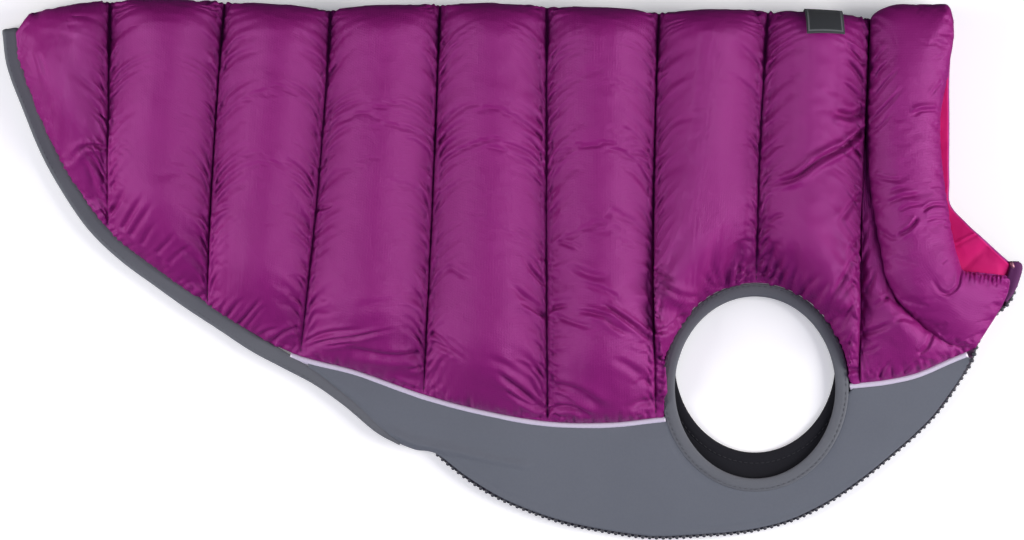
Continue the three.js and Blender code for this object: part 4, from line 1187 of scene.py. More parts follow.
def build_back():
    near = capped(g1, moved[0], 9.0)
    share = np.arange(FINE) / FINE
    share = 0.45 * share + 0.55 * (1 - np.cos(math.pi * share)) / 2
    first = np.concatenate([[0], np.cumsum(PER_CHANNEL)])
    at = np.concatenate([first[k] + share * PER_CHANNEL[k] for k in range(len(PER_CHANNEL))] + [[len(cols) - 1]])
    near, ch = across_columns(near, at)
    start, _ = across_columns(g1, at)
    rows = np.linspace(0, ROWS + OVER - 1, FINE_ROWS)
    i = np.minimum(rows.astype(int), ROWS + OVER - 2)
    f = (rows - i)[None, :, None]

    def down(g):
        p0, p1, p2, p3 = g[:, np.maximum(i - 1, 0)], g[:, i], g[:, i + 1], g[:, np.minimum(i + 2, g.shape[1] - 1)]
        return 0.5 * (2 * p1 + (p2 - p0) * f + (2 * p0 - 5 * p1 + 4 * p2 - p3) * f**2 + (3 * p1 - p0 - 3 * p2 + p3) * f**3)

    near, start = down(near), down(start)
    n = len(at)
    # the wrinkles lean down into each quilting line
    moved_by = near - start
    for k in range(len(PER_CHANNEL)):
        a, b = k * FINE, min((k + 1) * FINE, n - 1)
        for c in range(a + 1, b):
            off = np.minimum(np.linalg.norm(start[c, :, :2] - start[a, :, :2], axis=1), np.linalg.norm(start[c, :, :2] - start[b, :, :2], axis=1))
            run = lengths(start[c])
            held = smooth(run, 2, 26) * (1 - smooth(run, run[-1] - 34, run[-1] - 12))
            lean = WRINKLE_LEAN * (smooth(start[c, :, 1], -35, 45) if k in (5, 6, 7) else 1.0)
            shift = lean * 7.0 * (1 - np.exp(-off / 7.0)) * held
            for q in range(3):
                moved_by[c, :, q] = np.interp(run - shift, run, moved_by[c, :, q].copy())
    near = start + moved_by
    # the cloth rolls steeply into each quilting line
    for k in range(len(PER_CHANNEL)):
        a, b = k * FINE, min((k + 1) * FINE, n - 1)
        for edge, step in ((a, 1), (b, -1)):
            base = near[edge].copy()
            cells = range(edge + step, (a + b) // 2, step)
            d = np.array([np.linalg.norm(near[c, :, :2] - base[:, :2], axis=1) for c in cells])
            z = np.array([near[c, :, 2] - base[:, 2] for c in cells])
            # its radius changes along the line, as the fill is uneven
            radius = SEAM_ROUND * (1 + 0.30 * value_noise(near[edge, :, :2] + (37 * step, 0), 9.0, 140 + k))
            full = np.array([np.interp(radius[j], d[:, j], z[:, j]) for j in range(near.shape[1])])
            full = np.convolve(np.pad(full, 4, mode="edge"), np.ones(9) / 9, mode="valid")
            for c, x in zip(cells, d / radius):
                lift = full * (0.25 * x + 0.75 * np.maximum(0, 1 - (1 - np.minimum(x, 1)) ** 2) ** 0.7)
                near[c, :, 2] = np.where(x < 1, base[:, 2] + lift, near[c, :, 2])
    # the lines lie a little higher than the padding pattern has them, and the cloth runs evenly beside them
    calm = np.zeros(near.shape[:2])

    def line_rise(off):
        return SEAM_LIFT * np.exp(-((off / 7.0) ** 2)) + 1.7 * np.exp(-((off / 2.2) ** 2))

    for k in range(len(PER_CHANNEL)):
        a, b = k * FINE, min((k + 1) * FINE, n - 1)
        for c in range(a + (k > 0), b + 1):
            off = np.linalg.norm(near[c, :, :2] - near[b, :, :2], axis=1)
            rise = line_rise(off) * (smooth(near[c, :, 1], 5, 45) if b == n - 1 else 1.0)
            if k:
                off_a = np.linalg.norm(near[c, :, :2] - near[a, :, :2], axis=1)
                rise = np.maximum(rise, line_rise(off_a))
                off = np.minimum(off, off_a)
            calm[c] = off
            if 0 < c - a and c < b:
                w = np.exp(-((off / 1.8) ** 2))[:, None]
                even = np.stack([np.convolve(np.pad(near[c, :, q], 4, mode="edge"), np.ones(9) / 9, mode="valid") for q in range(3)], -1)
                w[:6] = w[-6:] = 0
                near[c] = near[c] * (1 - w) + even * w
            run = lengths(near[c])
            near[c, :, 2] += rise * smooth(run, 1, 22) * (1 - smooth(run, run[-1] - 40, run[-1] - 22))
    # creases
    P = near[..., :2]
    dz = np.zeros(near.shape[:2])
    r = np.random.default_rng(23)
    last_y = P[:, :, 1].max(1)
    for k in range(len(PER_CHANNEL)):
        a, b = k * FINE, min((k + 1) * FINE, n - 1) + 1
        part, out = P[a:b], dz[a:b]
        for edge, side in ((0, 1), (-1, -1)):
            line = part[edge]
            order = np.argsort(line[:, 1])
            ys, xs = line[order, 1], line[order, 0]
            turned = side > 0 and k in (5, 6)
            low_slope = (lambda y: -0.5 if y < 12 else 1.4) if turned else 1.5
            if k == 0 and side > 0:
                continue
            strong = 1.45
            feathers(part, out, lambda y, ys=ys, xs=xs: float(np.interp(y, ys, xs)), side, ys[0] + 4, ys[-1] - 3, r, slope=low_slope,
                     depth=(0.55 * strong, 1.05 * strong), reach=(4.0, 8.0), step=(4.6, 7.0), width=(0.5, 0.85))
            feathers(part, out, lambda y, ys=ys, xs=xs: float(np.interp(y, ys, xs)), side, ys[0] + 4, ys[-1] - 3, r, slope=low_slope,
                     step=(3.0, 5.0), reach=(2.0, 4.5), depth=(0.4, 0.8), width=(0.42, 0.65))
    s_tail = lower_sums[np.argmin(np.linalg.norm(lower_edge - (-100, -41), axis=1))]
    s_ring = lower_sums[np.argmin(np.linalg.norm(lower_edge - (69.6, -69.3), axis=1))]
    s_front = lower_sums[np.argmin(np.linalg.norm(lower_edge - (159.5, -50), axis=1))]
    gathers(P, dz, lower_edge, lower_sums, 3, s_tail, r, step=(2.6, 4.6), reach=(3, 8), lean=0.5)
    gathers(P, dz, lower_edge, lower_sums, s_tail, s_ring, r, step=(3.0, 5.5), reach=(3, 9), depth=(0.3, 0.7), lean=-0.3)
    gathers(P, dz, lower_edge, lower_sums, s_ring + 10, s_front, r, step=(3.0, 4.8), reach=(4, 10), depth=(0.5, 1.1))
    for pts, width, depth, fade, up, low in FOLDS:
        stroke(P, dz, px(*pts), width, depth * 1.15, fade, up, low)
    size = np.array([np.linalg.norm(near[c, -1, :2] - near[c, 0, :2]) for c in range(n)])
    dz += 0.32 * value_noise(P, 13.0, 101) + 0.14 * value_noise(P, 5.0, 102)
    # nothing moves on the quilting lines or at the body's ends
    hold = np.ones(near.shape[:2])
    for c in list(range(0, n - 1, FINE)) + [n - 1]:
        hold[c] = 0
    hold[:, 0] = 0
    hold[1:] *= smooth(calm[1:], 0.1, 1.8)
    dz *= hold
    over = np.arange(near.shape[1])[None, :] > (ROWS + 1) / (ROWS + OVER) * FINE_ROWS
    fold = smooth(near[..., 1], last_y[:, None] - 1.0, last_y[:, None] - 9.0)
    normal = np.cross(np.gradient(near, axis=0), np.gradient(near, axis=1))
    normal /= np.maximum(1e-9, np.linalg.norm(normal, axis=-1, keepdims=True))
    for _ in range(4):
        normal[1:-1, 1:-1] = normal[1:-1, 1:-1] * 0.4 + (normal[:-2, 1:-1] + normal[2:, 1:-1] + normal[1:-1, :-2] + normal[1:-1, 2:]) * 0.15
    normal /= np.maximum(1e-9, np.linalg.norm(normal, axis=-1, keepdims=True))
    dz = np.where(fold < 1, np.clip(dz, -1.0 - fold, 1.0 + fold), dz) * np.where(over, 0.5, 1)
    near = near + normal * dz[..., None]
    # no point crosses a quilting line
    for k in range(len(PER_CHANNEL)):
        a, b = k * FINE, min((k + 1) * FINE, n - 1)
        for c in range(a + 1, b):
            lo_x = np.interp(near[c, :, 1], *np.array(sorted(zip(near[a, :, 1], near[a, :, 0]))).T)
            hi_x = np.interp(near[c, :, 1], *np.array(sorted(zip(near[b, :, 1], near[b, :, 0]))).T)
            free = run_free(near.shape[1])
            near[c, :, 0] = np.where(free, np.clip(near[c, :, 0], lo_x + 0.05, hi_x - 0.05), near[c, :, 0])
    floor = start[..., 2] * 0 + np.where(over, 0.3, 3.4)
    near[..., 2] = np.maximum(near[..., 2], floor)

    # the other faces, at the same stations
    far_rows, in_rows = 26, 8
    rings = []
    lo = np.minimum(at.astype(int), len(cols) - 2)
    for k in range(n):
        f1 = at[k] - lo[k]
        ca, cb = cols[lo[k]], cols[lo[k] + 1]
        c = {key: ca[key] * (1 - f1) + cb[key] * f1 for key in ("low", "top", "bow", "lift", "puff")}
        far_low = c["low"] + (0, far_shift(c["low"][0]))
        size = np.linalg.norm(far_low - c["top"])
        last = near[k, -1]
        v_last = 1 - (c["top"][1] - last[1]) / max(1e-6, c["top"][1] - far_low[1])
        v_last = min(0.985, max(0.3, v_last))
        s = np.linspace(v_last, 0, far_rows + 1)[1:] * size
        far = shell_point(c, -1, s)
        wall = min(FOLD_WALL, 0.42 * size)
        near_size = np.linalg.norm(c["low"] - c["top"])
        s_in_far = np.linspace(0, size - wall, in_rows)
        s_in_near = np.linspace(near_size - min(FOLD_WALL, 0.42 * near_size), 0, in_rows)
        rings.append(np.vstack([near[k], far, shell_point(c, -1, s_in_far, "in"), shell_point(c, 1, s_in_near, "in")]))
    rings = np.array(rings)
    uv = loop_uv(rings)
    # one piece for every two channels, which keeps each below the triangle limit
    for k in range(4):
        a, b = 2 * k * FINE, min(2 * (k + 1) * FINE, n - 1) + 1
        obj = loop_body("back_quilt_cloth_%d" % (k + 1), rings[a:b], uv[a:b])
        print("back triangles", sum(len(p.vertices) - 2 for p in obj.data.polygons))
        dress(obj, shell_mat)
        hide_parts("back_quilt")
    # quilting stitches along the inner lines
    for k in range(1, len(PER_CHANNEL)):
        line = near[k * FINE, 3 : int(ROWS / (ROWS + OVER) * FINE_ROWS)]
        line = line + (0, 0, 0.12)
        stitches("quilt_stitches_%d" % k, line, np.tile((0.0, 0.0, 1.0), (len(line), 1)), 2.9, 2.0, 0.34, thread_purple)
    return rings


back_rings = build_back()


CHEST_FOLDS = [
    ([(862, 262), (867, 250), (870, 236)], 1.0, 1.0, (0.0, 0.5), 0.5, 0.4),
    ([(866, 296), (872, 280), (876, 262)], 1.1, 1.2, (0.1, 0.4), 0.5, 0.4),
    ([(872, 308), (882, 300), (890, 296)], 1.0, 1.0, (0.3, 0.2), 0.5, 0.4),
    ([(862, 334), (876, 330), (892, 323)], 1.3, 1.5, (0.0, 0.4), 0.6, 0.4),
    ([(862, 352), (872, 350), (882, 344)], 0.9, 0.9, (0.0, 0.4), 0.5, 0.4),
    ([(918, 354), (927, 347), (932, 333)], 1.1, 1.4, (0.1, 0.1), 0.5, 0.4),
    ([(892, 322), (902, 318), (914, 322)], 1.2, 1.0, (0.2, 0.1), 0.5, 0.4),
    ([(905, 372), (914, 362), (924, 356)], 1.0, 0.8, (0.0, 0.4), 0.5, 0.4),
    ([(880, 378), (884, 368), (892, 358)], 1.0, 0.8, (0.0, 0.5), 0.5, 0.4),
]


def build_chest():
    near = upsample(capped(g3, moved[2], 6.0), 4, 3)
    rows = chest_table(near.shape[0])
    m = near.shape[1]
    P, dz = near[..., :2], np.zeros(near.shape[:2])
    r = np.random.default_rng(31)
    line = near[0, :, :2]
    order = np.argsort(line[:, 1])
    ys, xs = line[order, 1], line[order, 0]
    feathers(P, dz, lambda y: float(np.interp(y, ys, xs)), 1, ys[0] + 3, ys[-1] - 3, r, reach=(4, 9), depth=(0.5, 1.1))
    low = near[:, 0, :2]
    gathers(P, dz, low, lengths(low), 1, lengths(low)[-1] - 1, r, step=(3.0, 5.0), reach=(3, 8), depth=(0.3, 0.8))
    for pts, width, depth, fade, up, down in CHEST_FOLDS:
        stroke(P, dz, px(*pts), width, depth, fade, up, down)
    dz += 0.3 * value_noise(P, 9.0, 103)
    v = np.linspace(0, 1, m)[None, :]
    u = np.linspace(0, 1, near.shape[0])[:, None]
    hold = smooth(v, 0, 0.04) * smooth(u, 0, 0.02) * smooth(1 - u, 0, 0.04)
    near[..., 2] = np.maximum(near[..., 2] + dz * hold, 3.6)
    v_in = np.linspace(1, 0, 8)
    rings = np.array([np.vstack([near[k], chest_section(r, 1, v_in, out=False)]) for k, r in enumerate(rows)])
    obj = loop_body("chest_quilt_near_cloth", rings, loop_uv(rings))
    dress(obj, shell_mat)
    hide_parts("chest_quilt_near")
    rows = chest_table(50)
    v = np.linspace(0, 1, 40)
    rings = []
    for r in rows:
        out = chest_section(r, -1, v)
        inn = chest_section(r, -1, v_in, out=False)
        rings.append(np.vstack([out, inn]))
    rings = np.array(rings)
    obj = loop_body("chest_quilt_far_cloth", rings, loop_uv(rings))
    dress(obj, shell_mat)
    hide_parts("chest_quilt_far")


build_chest()

FAR_MID = 0.82
RIM_MIN = 1.9


def collar_far_row(r):
    q = dict(r)
    if r["mid"] < MID - 0.01:
        q["mid"] = r["mid"] * (FAR_MID + (1 - FAR_MID) * float(smooth(r["mid"], 13.4, MID)))
    return q


COLLAR_FOLDS = [
    # slanting from the body seam
    ([(869, 58), (876, 47), (886, 36)], 1.0, 1.1, (0.0, 0.5), 0.5, 0.4),
    ([(868, 72), (878, 56), (890, 44)], 1.0, 1.2, (0.0, 0.5), 0.5, 0.4),
    ([(869, 88), (880, 70), (894, 56)], 1.1, 1.4, (0.0, 0.5), 0.6, 0.4),
    ([(869, 104), (884, 84), (900, 66)], 1.1, 1.4, (0.0, 0.5), 0.6, 0.4),
    ([(870, 122), (884, 108), (903, 86)], 1.2, 1.4, (0.0, 0.4), 0.6, 0.4),
    ([(871, 134), (882, 124), (892, 112)], 1.0, 1.0, (0.0, 0.5), 0.5, 0.4),
    ([(884, 26), (892, 34), (896, 50)], 1.0, 0.8, (0.3, 0.5), 0.5, 0.4),
    # from the rim
    ([(910, 116), (920, 111), (936, 110)], 1.3, 1.7, (0.3, 0.1), 0.9, 0.2),
    ([(928, 98), (934, 90), (942, 80)], 1.0, 1.1, (0.3, 0.1), 0.6, 0.3),
    ([(916, 40), (926, 44), (938, 44)], 1.2, 0.8, (0.4, 0.2), 0.5, 0.4),
    ([(930, 60), (938, 58), (946, 52)], 1.0, 0.8, (0.4, 0.1), 0.5, 0.4),
    # bend
    ([(872, 176), (888, 180), (904, 181)], 1.2, 1.2, (0.1, 0.4), 0.6, 0.4),
    ([(884, 204), (902, 197), (924, 194)], 1.3, 1.6, (0.2, 0.3), 0.7, 0.4),
    ([(888, 193), (896, 189), (908, 187)], 1.0, 0.9, (0.2, 0.5), 0.5, 0.4),
    ([(896, 212), (908, 206), (926, 204)], 1.1, 1.0, (0.2, 0.4), 0.6, 0.4),
    ([(920, 212), (930, 206), (941, 205), (950, 209)], 1.1, 1.9, (0.2, 0.0), 0.5, 0.8),
    ([(896, 236), (908, 229), (917, 217)], 1.2, 1.9, (0.2, 0.2), 0.6, 0.5),
    ([(922, 222), (934, 218), (948, 219)], 1.0, 1.2, (0.3, 0.0), 0.5, 0.4),
    ([(880, 230), (890, 238), (900, 238)], 1.4, 1.1, (0.2, 0.3), 0.5, 0.4),
    ([(939, 264), (943, 261), (947, 258)], 0.8, 0.8, (0.3, 0.4), 0.5, 0.4),
    # front
    ([(960, 269), (958.5, 278), (956.5, 286), (950.5, 292), (943, 293.6), (934, 290)], 1.1, 1.7, (0.1, 0.4), 0.4, 0.7),
    ([(930, 278), (938, 290), (952, 298)], 1.3, 0.8, (0.4, 0.3), 0.5, 0.4),
    ([(902, 300), (914, 300), (926, 306)], 1.6, 0.7, (0.4, 0.4), 0.5, 0.4),
]


def build_collar():
    near = moved[1][:, ::-1]
    near = capped(g2, near, 8.0)
    near = upsample(near, 3, 3)
    n_near, m = near.shape[:2]
    turns = 11 * 3
    P, dz = near[..., :2], np.zeros(near.shape[:2])
    r = np.random.default_rng(37)
    body = near[: n_near - turns]
    Pb, db = P[: n_near - turns], dz[: n_near - turns]
    base, rim = body[:, 0, :2], body[:, -1, :2]
    # small gathers on the seam to the body and on the rim
    order = np.argsort(base[:, 1])
    ys, xs = base[order, 1], base[order, 0]
    feathers(Pb, db, lambda y: float(np.interp(y, ys, xs)), 1, -5, 108, r, slope=1.3, reach=(3, 8), depth=(0.3, 0.8))
    gathers(Pb, db, base, lengths(base), 2, 40, r, step=(3.0, 5.0), reach=(3, 7), depth=(0.3, 0.7), lean=0.3, away=1)
    gathers(Pb, db, base, lengths(base), 2, 40, r, step=(3.0, 5.0), reach=(3, 7), depth=(0.3, 0.7), lean=0.3, away=-1)
    sums = lengths(rim)
    s_notch = sums[np.argmin(np.linalg.norm(rim - px((961, 272))[0], axis=1))]
    for away in (1, -1):
        gathers(Pb, db, rim, sums, 2.0, s_notch - 1, r, step=(1.5, 2.3), reach=(5, 7.5), depth=(0.45, 0.75), width=(0.42, 0.6), away=away)
        gathers(Pb, db, rim, sums, s_notch + 2, sums[-1], r, step=(1.8, 3.4), reach=(2, 4.5), depth=(0.3, 0.6), width=(0.45, 0.7), away=away)
    for pts, width, depth, fade, up, down in COLLAR_FOLDS:
        stroke(Pb, db, px(*pts), width * 0.78, depth * 0.74, fade, up, down)
    dz += 0.35 * value_noise(P, 11.0, 104) + 0.15 * value_noise(P, 4.5, 105)
    a = collar_stops(m)
    hold = smooth(a, 0, 0.05)[None, :] * smooth(np.arange(n_near), 0, 6)[:, None] * (1 - smooth(np.arange(n_near), n_near - turns - 30, n_near - turns))[:, None]
    near[..., 2] += dz * hold
    rows, _ = collar_rows((n_near - turns))
    frames = [(r, 0.0, False) for r in reversed(rows)]
    frames += [(rows[0], t, False) for t in np.linspace(0, COLLAR_TURN, turns + 1)[1:]]
    rest_turns = np.linspace(COLLAR_TURN, 180, 9)[1:-1]
    far_rows, _ = collar_rows(90)
    rings = []
    a_in = np.linspace(1, 0, 12)
    inner_h = LINING + 2.4 * GAP
    for k, (r, turn, far) in enumerate(frames):
        outer = near[k].copy()
        if turn == 0:
            floor = r["mid"] + RIM_MIN
            outer[:, 2] = np.maximum(outer[:, 2], floor)
        rings.append(np.vstack([outer, collar_point(r, a_in, np.full(12, inner_h), turn)]))
    for t in rest_turns:
        h = np.maximum(RIM_MIN, collar_height(rows[0], a))
        rings.append(np.vstack([collar_point(rows[0], a, h, t), collar_point(rows[0], a_in, np.full(12, inner_h), t)]))
    for r in far_rows:
        q = collar_far_row(r)
        h = np.maximum(RIM_MIN, collar_height(q, a, True))
        h = np.minimum(h, q["mid"] - 0.02)
        rings.append(np.vstack([collar_point(q, a, h, 180, True), collar_point(q, a_in, np.full(12, inner_h), 180, True)]))
    rings = np.array(rings)
    obj = loop_body("collar_cloth", rings, loop_uv(rings))
    dress(obj, shell_mat)
    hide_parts("collar_shell")


build_collar()


def thin_body(name, top, bottom, uv=True):
    """Closed sheet from a grid of its upper face and one of its under face."""
    n, m = top.shape[:2]
    rings = np.concatenate([top, bottom[:, ::-1]], axis=1)
    return loop_body(name, rings, loop_uv(rings))


def build_lining():
    rows, _ = collar_rows(170)
    a = np.linspace(0.06, 0.983, 64)
    frames = [(r, 0.0, False) for r in reversed(rows)]
    frames += [(rows[0], t, False) for t in np.linspace(0, 180, 9)[1:-1]]
    frames += [(collar_far_row(r), 180.0, True) for r in rows]
    top, bottom = [], []
    for r, t, far in frames:
        p = collar_point(r, a, np.full(len(a), GAP + LINING), t, far)
        q = collar_point(r, a, np.full(len(a), GAP), t, far)
        wave = value_noise(p[:, :2], 9.0, 61) * 0.5 + value_noise(p[:, :2], 4.0, 62) * 0.2
        if far:
            # the upper face of the far lining shows in the neck
            q = q + np.stack([0 * a, 0 * a, np.clip(wave, -0.6, 0.25)], -1)
            seam = (p[:, 0] - 209.6 - 1.91 * (p[:, 1] - 13.2)) * 0.464
            q[:, 2] += 0.55 * np.exp(-((seam / 0.5) ** 2)) - 0.45 * np.exp(-(((seam - 1.0) / 0.6) ** 2))
            soft = (p[:, 0] - 219.5 - 0.9 * (p[:, 1] - 8.0)) * 0.74
            q[:, 2] -= 0.5 * np.exp(-((soft / 1.3) ** 2))
            p[:, 2] = np.minimum(p[:, 2], q[:, 2] - 0.35)
        top.append(p)
        bottom.append(q)
    obj = thin_body("collar_lining_cloth", np.array(top), np.array(bottom))
    dress(obj, lining_mat)
    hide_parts("collar_lining")
    return obj


build_lining()

# ---------------------------------------------------------------- build: belly

PIPE_ROOM = PIPING_WIDTH + 2 * GAP
rear_under = beside(rear_edge, -PIPE_ROOM)
front_under = beside(front_edge, -PIPE_ROOM - GAP)


def belly_top(r):
    if r["edge"] == "ring":
        return ellipse(RING_RX - 1.2, RING_RY - 1.2, r["at"])
    line = rear_under if r["edge"] == "rear" else front_under
    return np.array([r["at"], np.interp(r["at"], line[:, 0], line[:, 1]) + 2.0])


def belly_grid(side, across=44):
    tops, lows = [], []
    for i, r in enumerate(BELLY):
        nxt = BELLY[min(i + 1, len(BELLY) - 1)]
        steps = 8 if i < len(BELLY) - 1 else 1
        for k in range(steps):
            f = k / 8
            if r["edge"] == nxt["edge"]:
                t = belly_top(dict(edge=r["edge"], at=r["at"] * (1 - f) + nxt["at"] * f))
            else:
                t = belly_top(r) * (1 - f) + belly_top(nxt) * f
                c = t - (HOLE_X, HOLE_Y)
                scale = np.hypot(c[0] / (RING_RX - 1.2), c[1] / (RING_RY - 1.2))
                if scale < 1:
                    t = np.array((HOLE_X, HOLE_Y)) + c / scale
            tops.append(t)
            lows.append(i + f)
    low_pts = np.array([[r["lowX"], r["lowY"]] for r in BELLY])
    # out to the teeth of the zip
    zip_line = spline(ZIP_LINE, 0.5)
    for k, p in enumerate(low_pts):
        if p[0] > -30:
            q = zip_line[np.argmin(np.linalg.norm(zip_line - p, axis=1))]
            gap = np.linalg.norm(q - p)
            low_pts[k] = p + (q - p) / gap * max(0.0, gap - 0.15)
    q = np.array(lows)
    i = np.clip(q.astype(int), 0, len(BELLY) - 2)
    f = (q - i)[:, None]
    p0, p1, p2, p3 = low_pts[np.maximum(i - 1, 0)], low_pts[i], low_pts[i + 1], low_pts[np.minimum(i + 2, len(BELLY) - 1)]
    low = 0.5 * (2 * p1 + (p2 - p0) * f + (2 * p0 - 5 * p1 + 4 * p2 - p3) * f**2 + (3 * p1 - p0 - 3 * p2 + p3) * f**3)
    top = np.array(tops)
    if side < 0:
        top = top + np.stack([0 * top[:, 0], far_shift(top[:, 0])], -1)
    v = np.linspace(0, 1, across)[None, :, None]
    return top[:, None] * (1 - v) + low[:, None] * v


def segment_distance(p, a, b):
    a, b = np.array(a), np.array(b)
    d = b - a
    k = np.clip(((p - a) @ d) / (d @ d), 0, 1)
    return np.linalg.norm(p - a - k[..., None] * d, axis=-1), k


BELLY_FOLD = [(-55.0, -78.0), (-47.0, -82.0), (-36.5, -84.6), (-25.9, -86.0), (-7.5, -90.2), (6.0, -92.6)]


def build_belly(side):
    plan = belly_grid(side)
    n, m = plan.shape[:2]
    base = REST_MID + SLIT - 0.2 if side > 0 else 0.0
    edge = np.minimum(np.arange(m)[None, :], (m - 1 - np.arange(m))[None, :]) / 6.0
    width = np.linalg.norm(plan[:, -1] - plan[:, 0], axis=-1)[:, None]
    d_low = width * (1 - np.linspace(0, 1, m))[None, :]
    d_top = width * np.linspace(0, 1, m)[None, :]
    rnd = np.sqrt(np.clip(1 - (1 - np.clip(np.minimum(d_low, d_top) / 0.9, 0, 1)) ** 2, 0, 1))
    top = base + CLOTH * (0.45 + 0.55 * rnd)
    if side > 0:
        wave = value_noise(plan, 34.0, 71) * 0.7 + value_noise(plan, 15.0, 72) * 0.22
        top = top + (wave + 0.35) * np.clip(np.minimum(d_low, d_top) / 9.0, 0, 1)
        # channel of the topstitch beside the zip, then the soft fold at the rear
        top = top - 0.45 * np.exp(-(((d_low - 3.0) / 0.55) ** 2))
        for a, b in zip(BELLY_FOLD[:-1], BELLY_FOLD[1:]):
            d, k = segment_distance(plan, a, b)
            up = (plan[..., 1] - (a[1] + (b[1] - a[1]) * k)) > 0
            top = np.maximum(top, base + CLOTH + np.where(up, 1.7 * np.exp(-((d / 3.4) ** 2)), 1.7 * np.exp(-((d / 1.5) ** 2))) * np.clip(d_low / 2.5, 0, 1))
    under = np.full((n, m), base) + 0.0
    if side > 0:
        under = np.minimum(under, top - 0.8)
    if side < 0:
        top = np.minimum(top, CLOTH)
    T = np.concatenate([plan, top[..., None]], -1)
    U = np.concatenate([plan, under[..., None]], -1)
    name = "belly_panel_near" if side > 0 else "belly_panel_far"
    obj = thin_body(name + "_cloth", T, U)
    obj.data.materials.append(stretch_mat)
    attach(obj, "root")
    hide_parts(name)
    if side < 0:
        # its upper faces, seen inside the hole, take the dark reverse cloth with painted shade
        obj.data.materials.append(inner_reverse_and_painted_shade_mat)
        normals = np.array([p.normal[2] for p in obj.data.polygons])
        obj.data.polygons.foreach_set("material_index", (normals > 0.3).astype(np.int32))
    return T


belly_far_T = build_belly(-1)
belly_near_T = build_belly(1)

# ---------------------------------------------------------------- build: bindings


def band(name, center, across, up, profile, closed, wide=None, hold=0.0):
    """Band along points: profile rows are (across, up) offsets, and wide scales the first at each station about hold."""
    wide = np.ones(len(center)) if wide is None else wide
    x = hold + (profile[None, :, :1] - hold) * wide[:, None, None]
    rings = center[:, None] + across[:, None] * x + up[:, None] * profile[None, :, 1:]
    if closed:
        n, m = rings.shape[:2]
        return mesh_object(name, rings, grid_faces(n, m, wrap_n=True, wrap_m=True), loop_uv(rings))
    return loop_body(name, rings, loop_uv(rings))


def binding_profile(width, thick, count=20, groove=None, power=2.6):
    """Rounded section of a bound edge with the groove of its stitching line."""
    t = np.linspace(0, 2 * math.pi, count, endpoint=False)
    x = np.sign(np.cos(t)) * np.abs(np.cos(t)) ** (2 / power) * width / 2
    y = np.sign(np.sin(t)) * np.abs(np.sin(t)) ** (2 / power) * thick / 2
    if groove is not None:
        at, depth, w = groove
        y = y - np.where(y > 0, depth * np.exp(-(((x - at) / w) ** 2)), 0)
    return np.stack([x, y], -1)


def build_leg_binding(side):
    count = 220
    d = np.linspace(0, 360, count, endpoint=False)
    a, b = ellipse(HOLE_RX, HOLE_RY, d), ellipse(RING_RX, RING_RY, d)
    across = (b - a) / np.linalg.norm(b - a, axis=1)[:, None]
    center = (a + b) / 2
    if side < 0:
        center = center + (0, FAR_SHIFT)
    width = (RING_RX - HOLE_RX + RING_RY - HOLE_RY) / 2
    thick = RING_THICK if side > 0 else REST_MID - SLIT
    z = (REST_MID + SLIT + thick / 2) if side > 0 else thick / 2
    lump = value_noise(np.stack([np.cos(np.radians(d)) * 60, np.sin(np.radians(d)) * 60], 1), 16.0, 81 + side) * 0.12
    c3 = np.column_stack([center, np.full(count, z) + (lump if side > 0 else 0)])
    a3 = np.column_stack([across, np.zeros(count)])
    u3 = np.tile((0.0, 0.0, 1.0), (count, 1))
    prof = binding_profile(width, thick, 28, groove=(width * 0.30, 0.35, 0.35))
    name = "leg_binding_near" if side > 0 else "leg_binding_far"
    obj = band(name + "_cloth", c3, a3, u3, prof, True)
    obj.data.materials.append(binding_mat)
    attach(obj, "root")
    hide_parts(name)
    if side < 0:
        # its upper faces, seen inside the hole, take the dark reverse cloth with painted shade
        obj.data.materials.append(inner_reverse_and_painted_shade_mat)
        normals = np.array([p.normal[2] for p in obj.data.polygons])
        obj.data.polygons.foreach_set("material_index", (normals > 0.1).astype(np.int32))
    path = np.column_stack([center + across * width * 0.30, np.full(count, z + thick / 2 * 0.86 - 0.12)])
    path = np.vstack([path, path[:1]])
    normal = np.tile((0.0, 0.0, 1.0), (len(path), 1))
    # the far ring's stitches take the grey thread darkened with painted shade
    stitches("leg_stitches_" + ("near" if side > 0 else "far"), path, normal, 2.6, 1.9, 0.34, thread_mat if side > 0 else thread_grey_painted_shade)


build_leg_binding(-1)
build_leg_binding(1)


HEM_OUT = 1


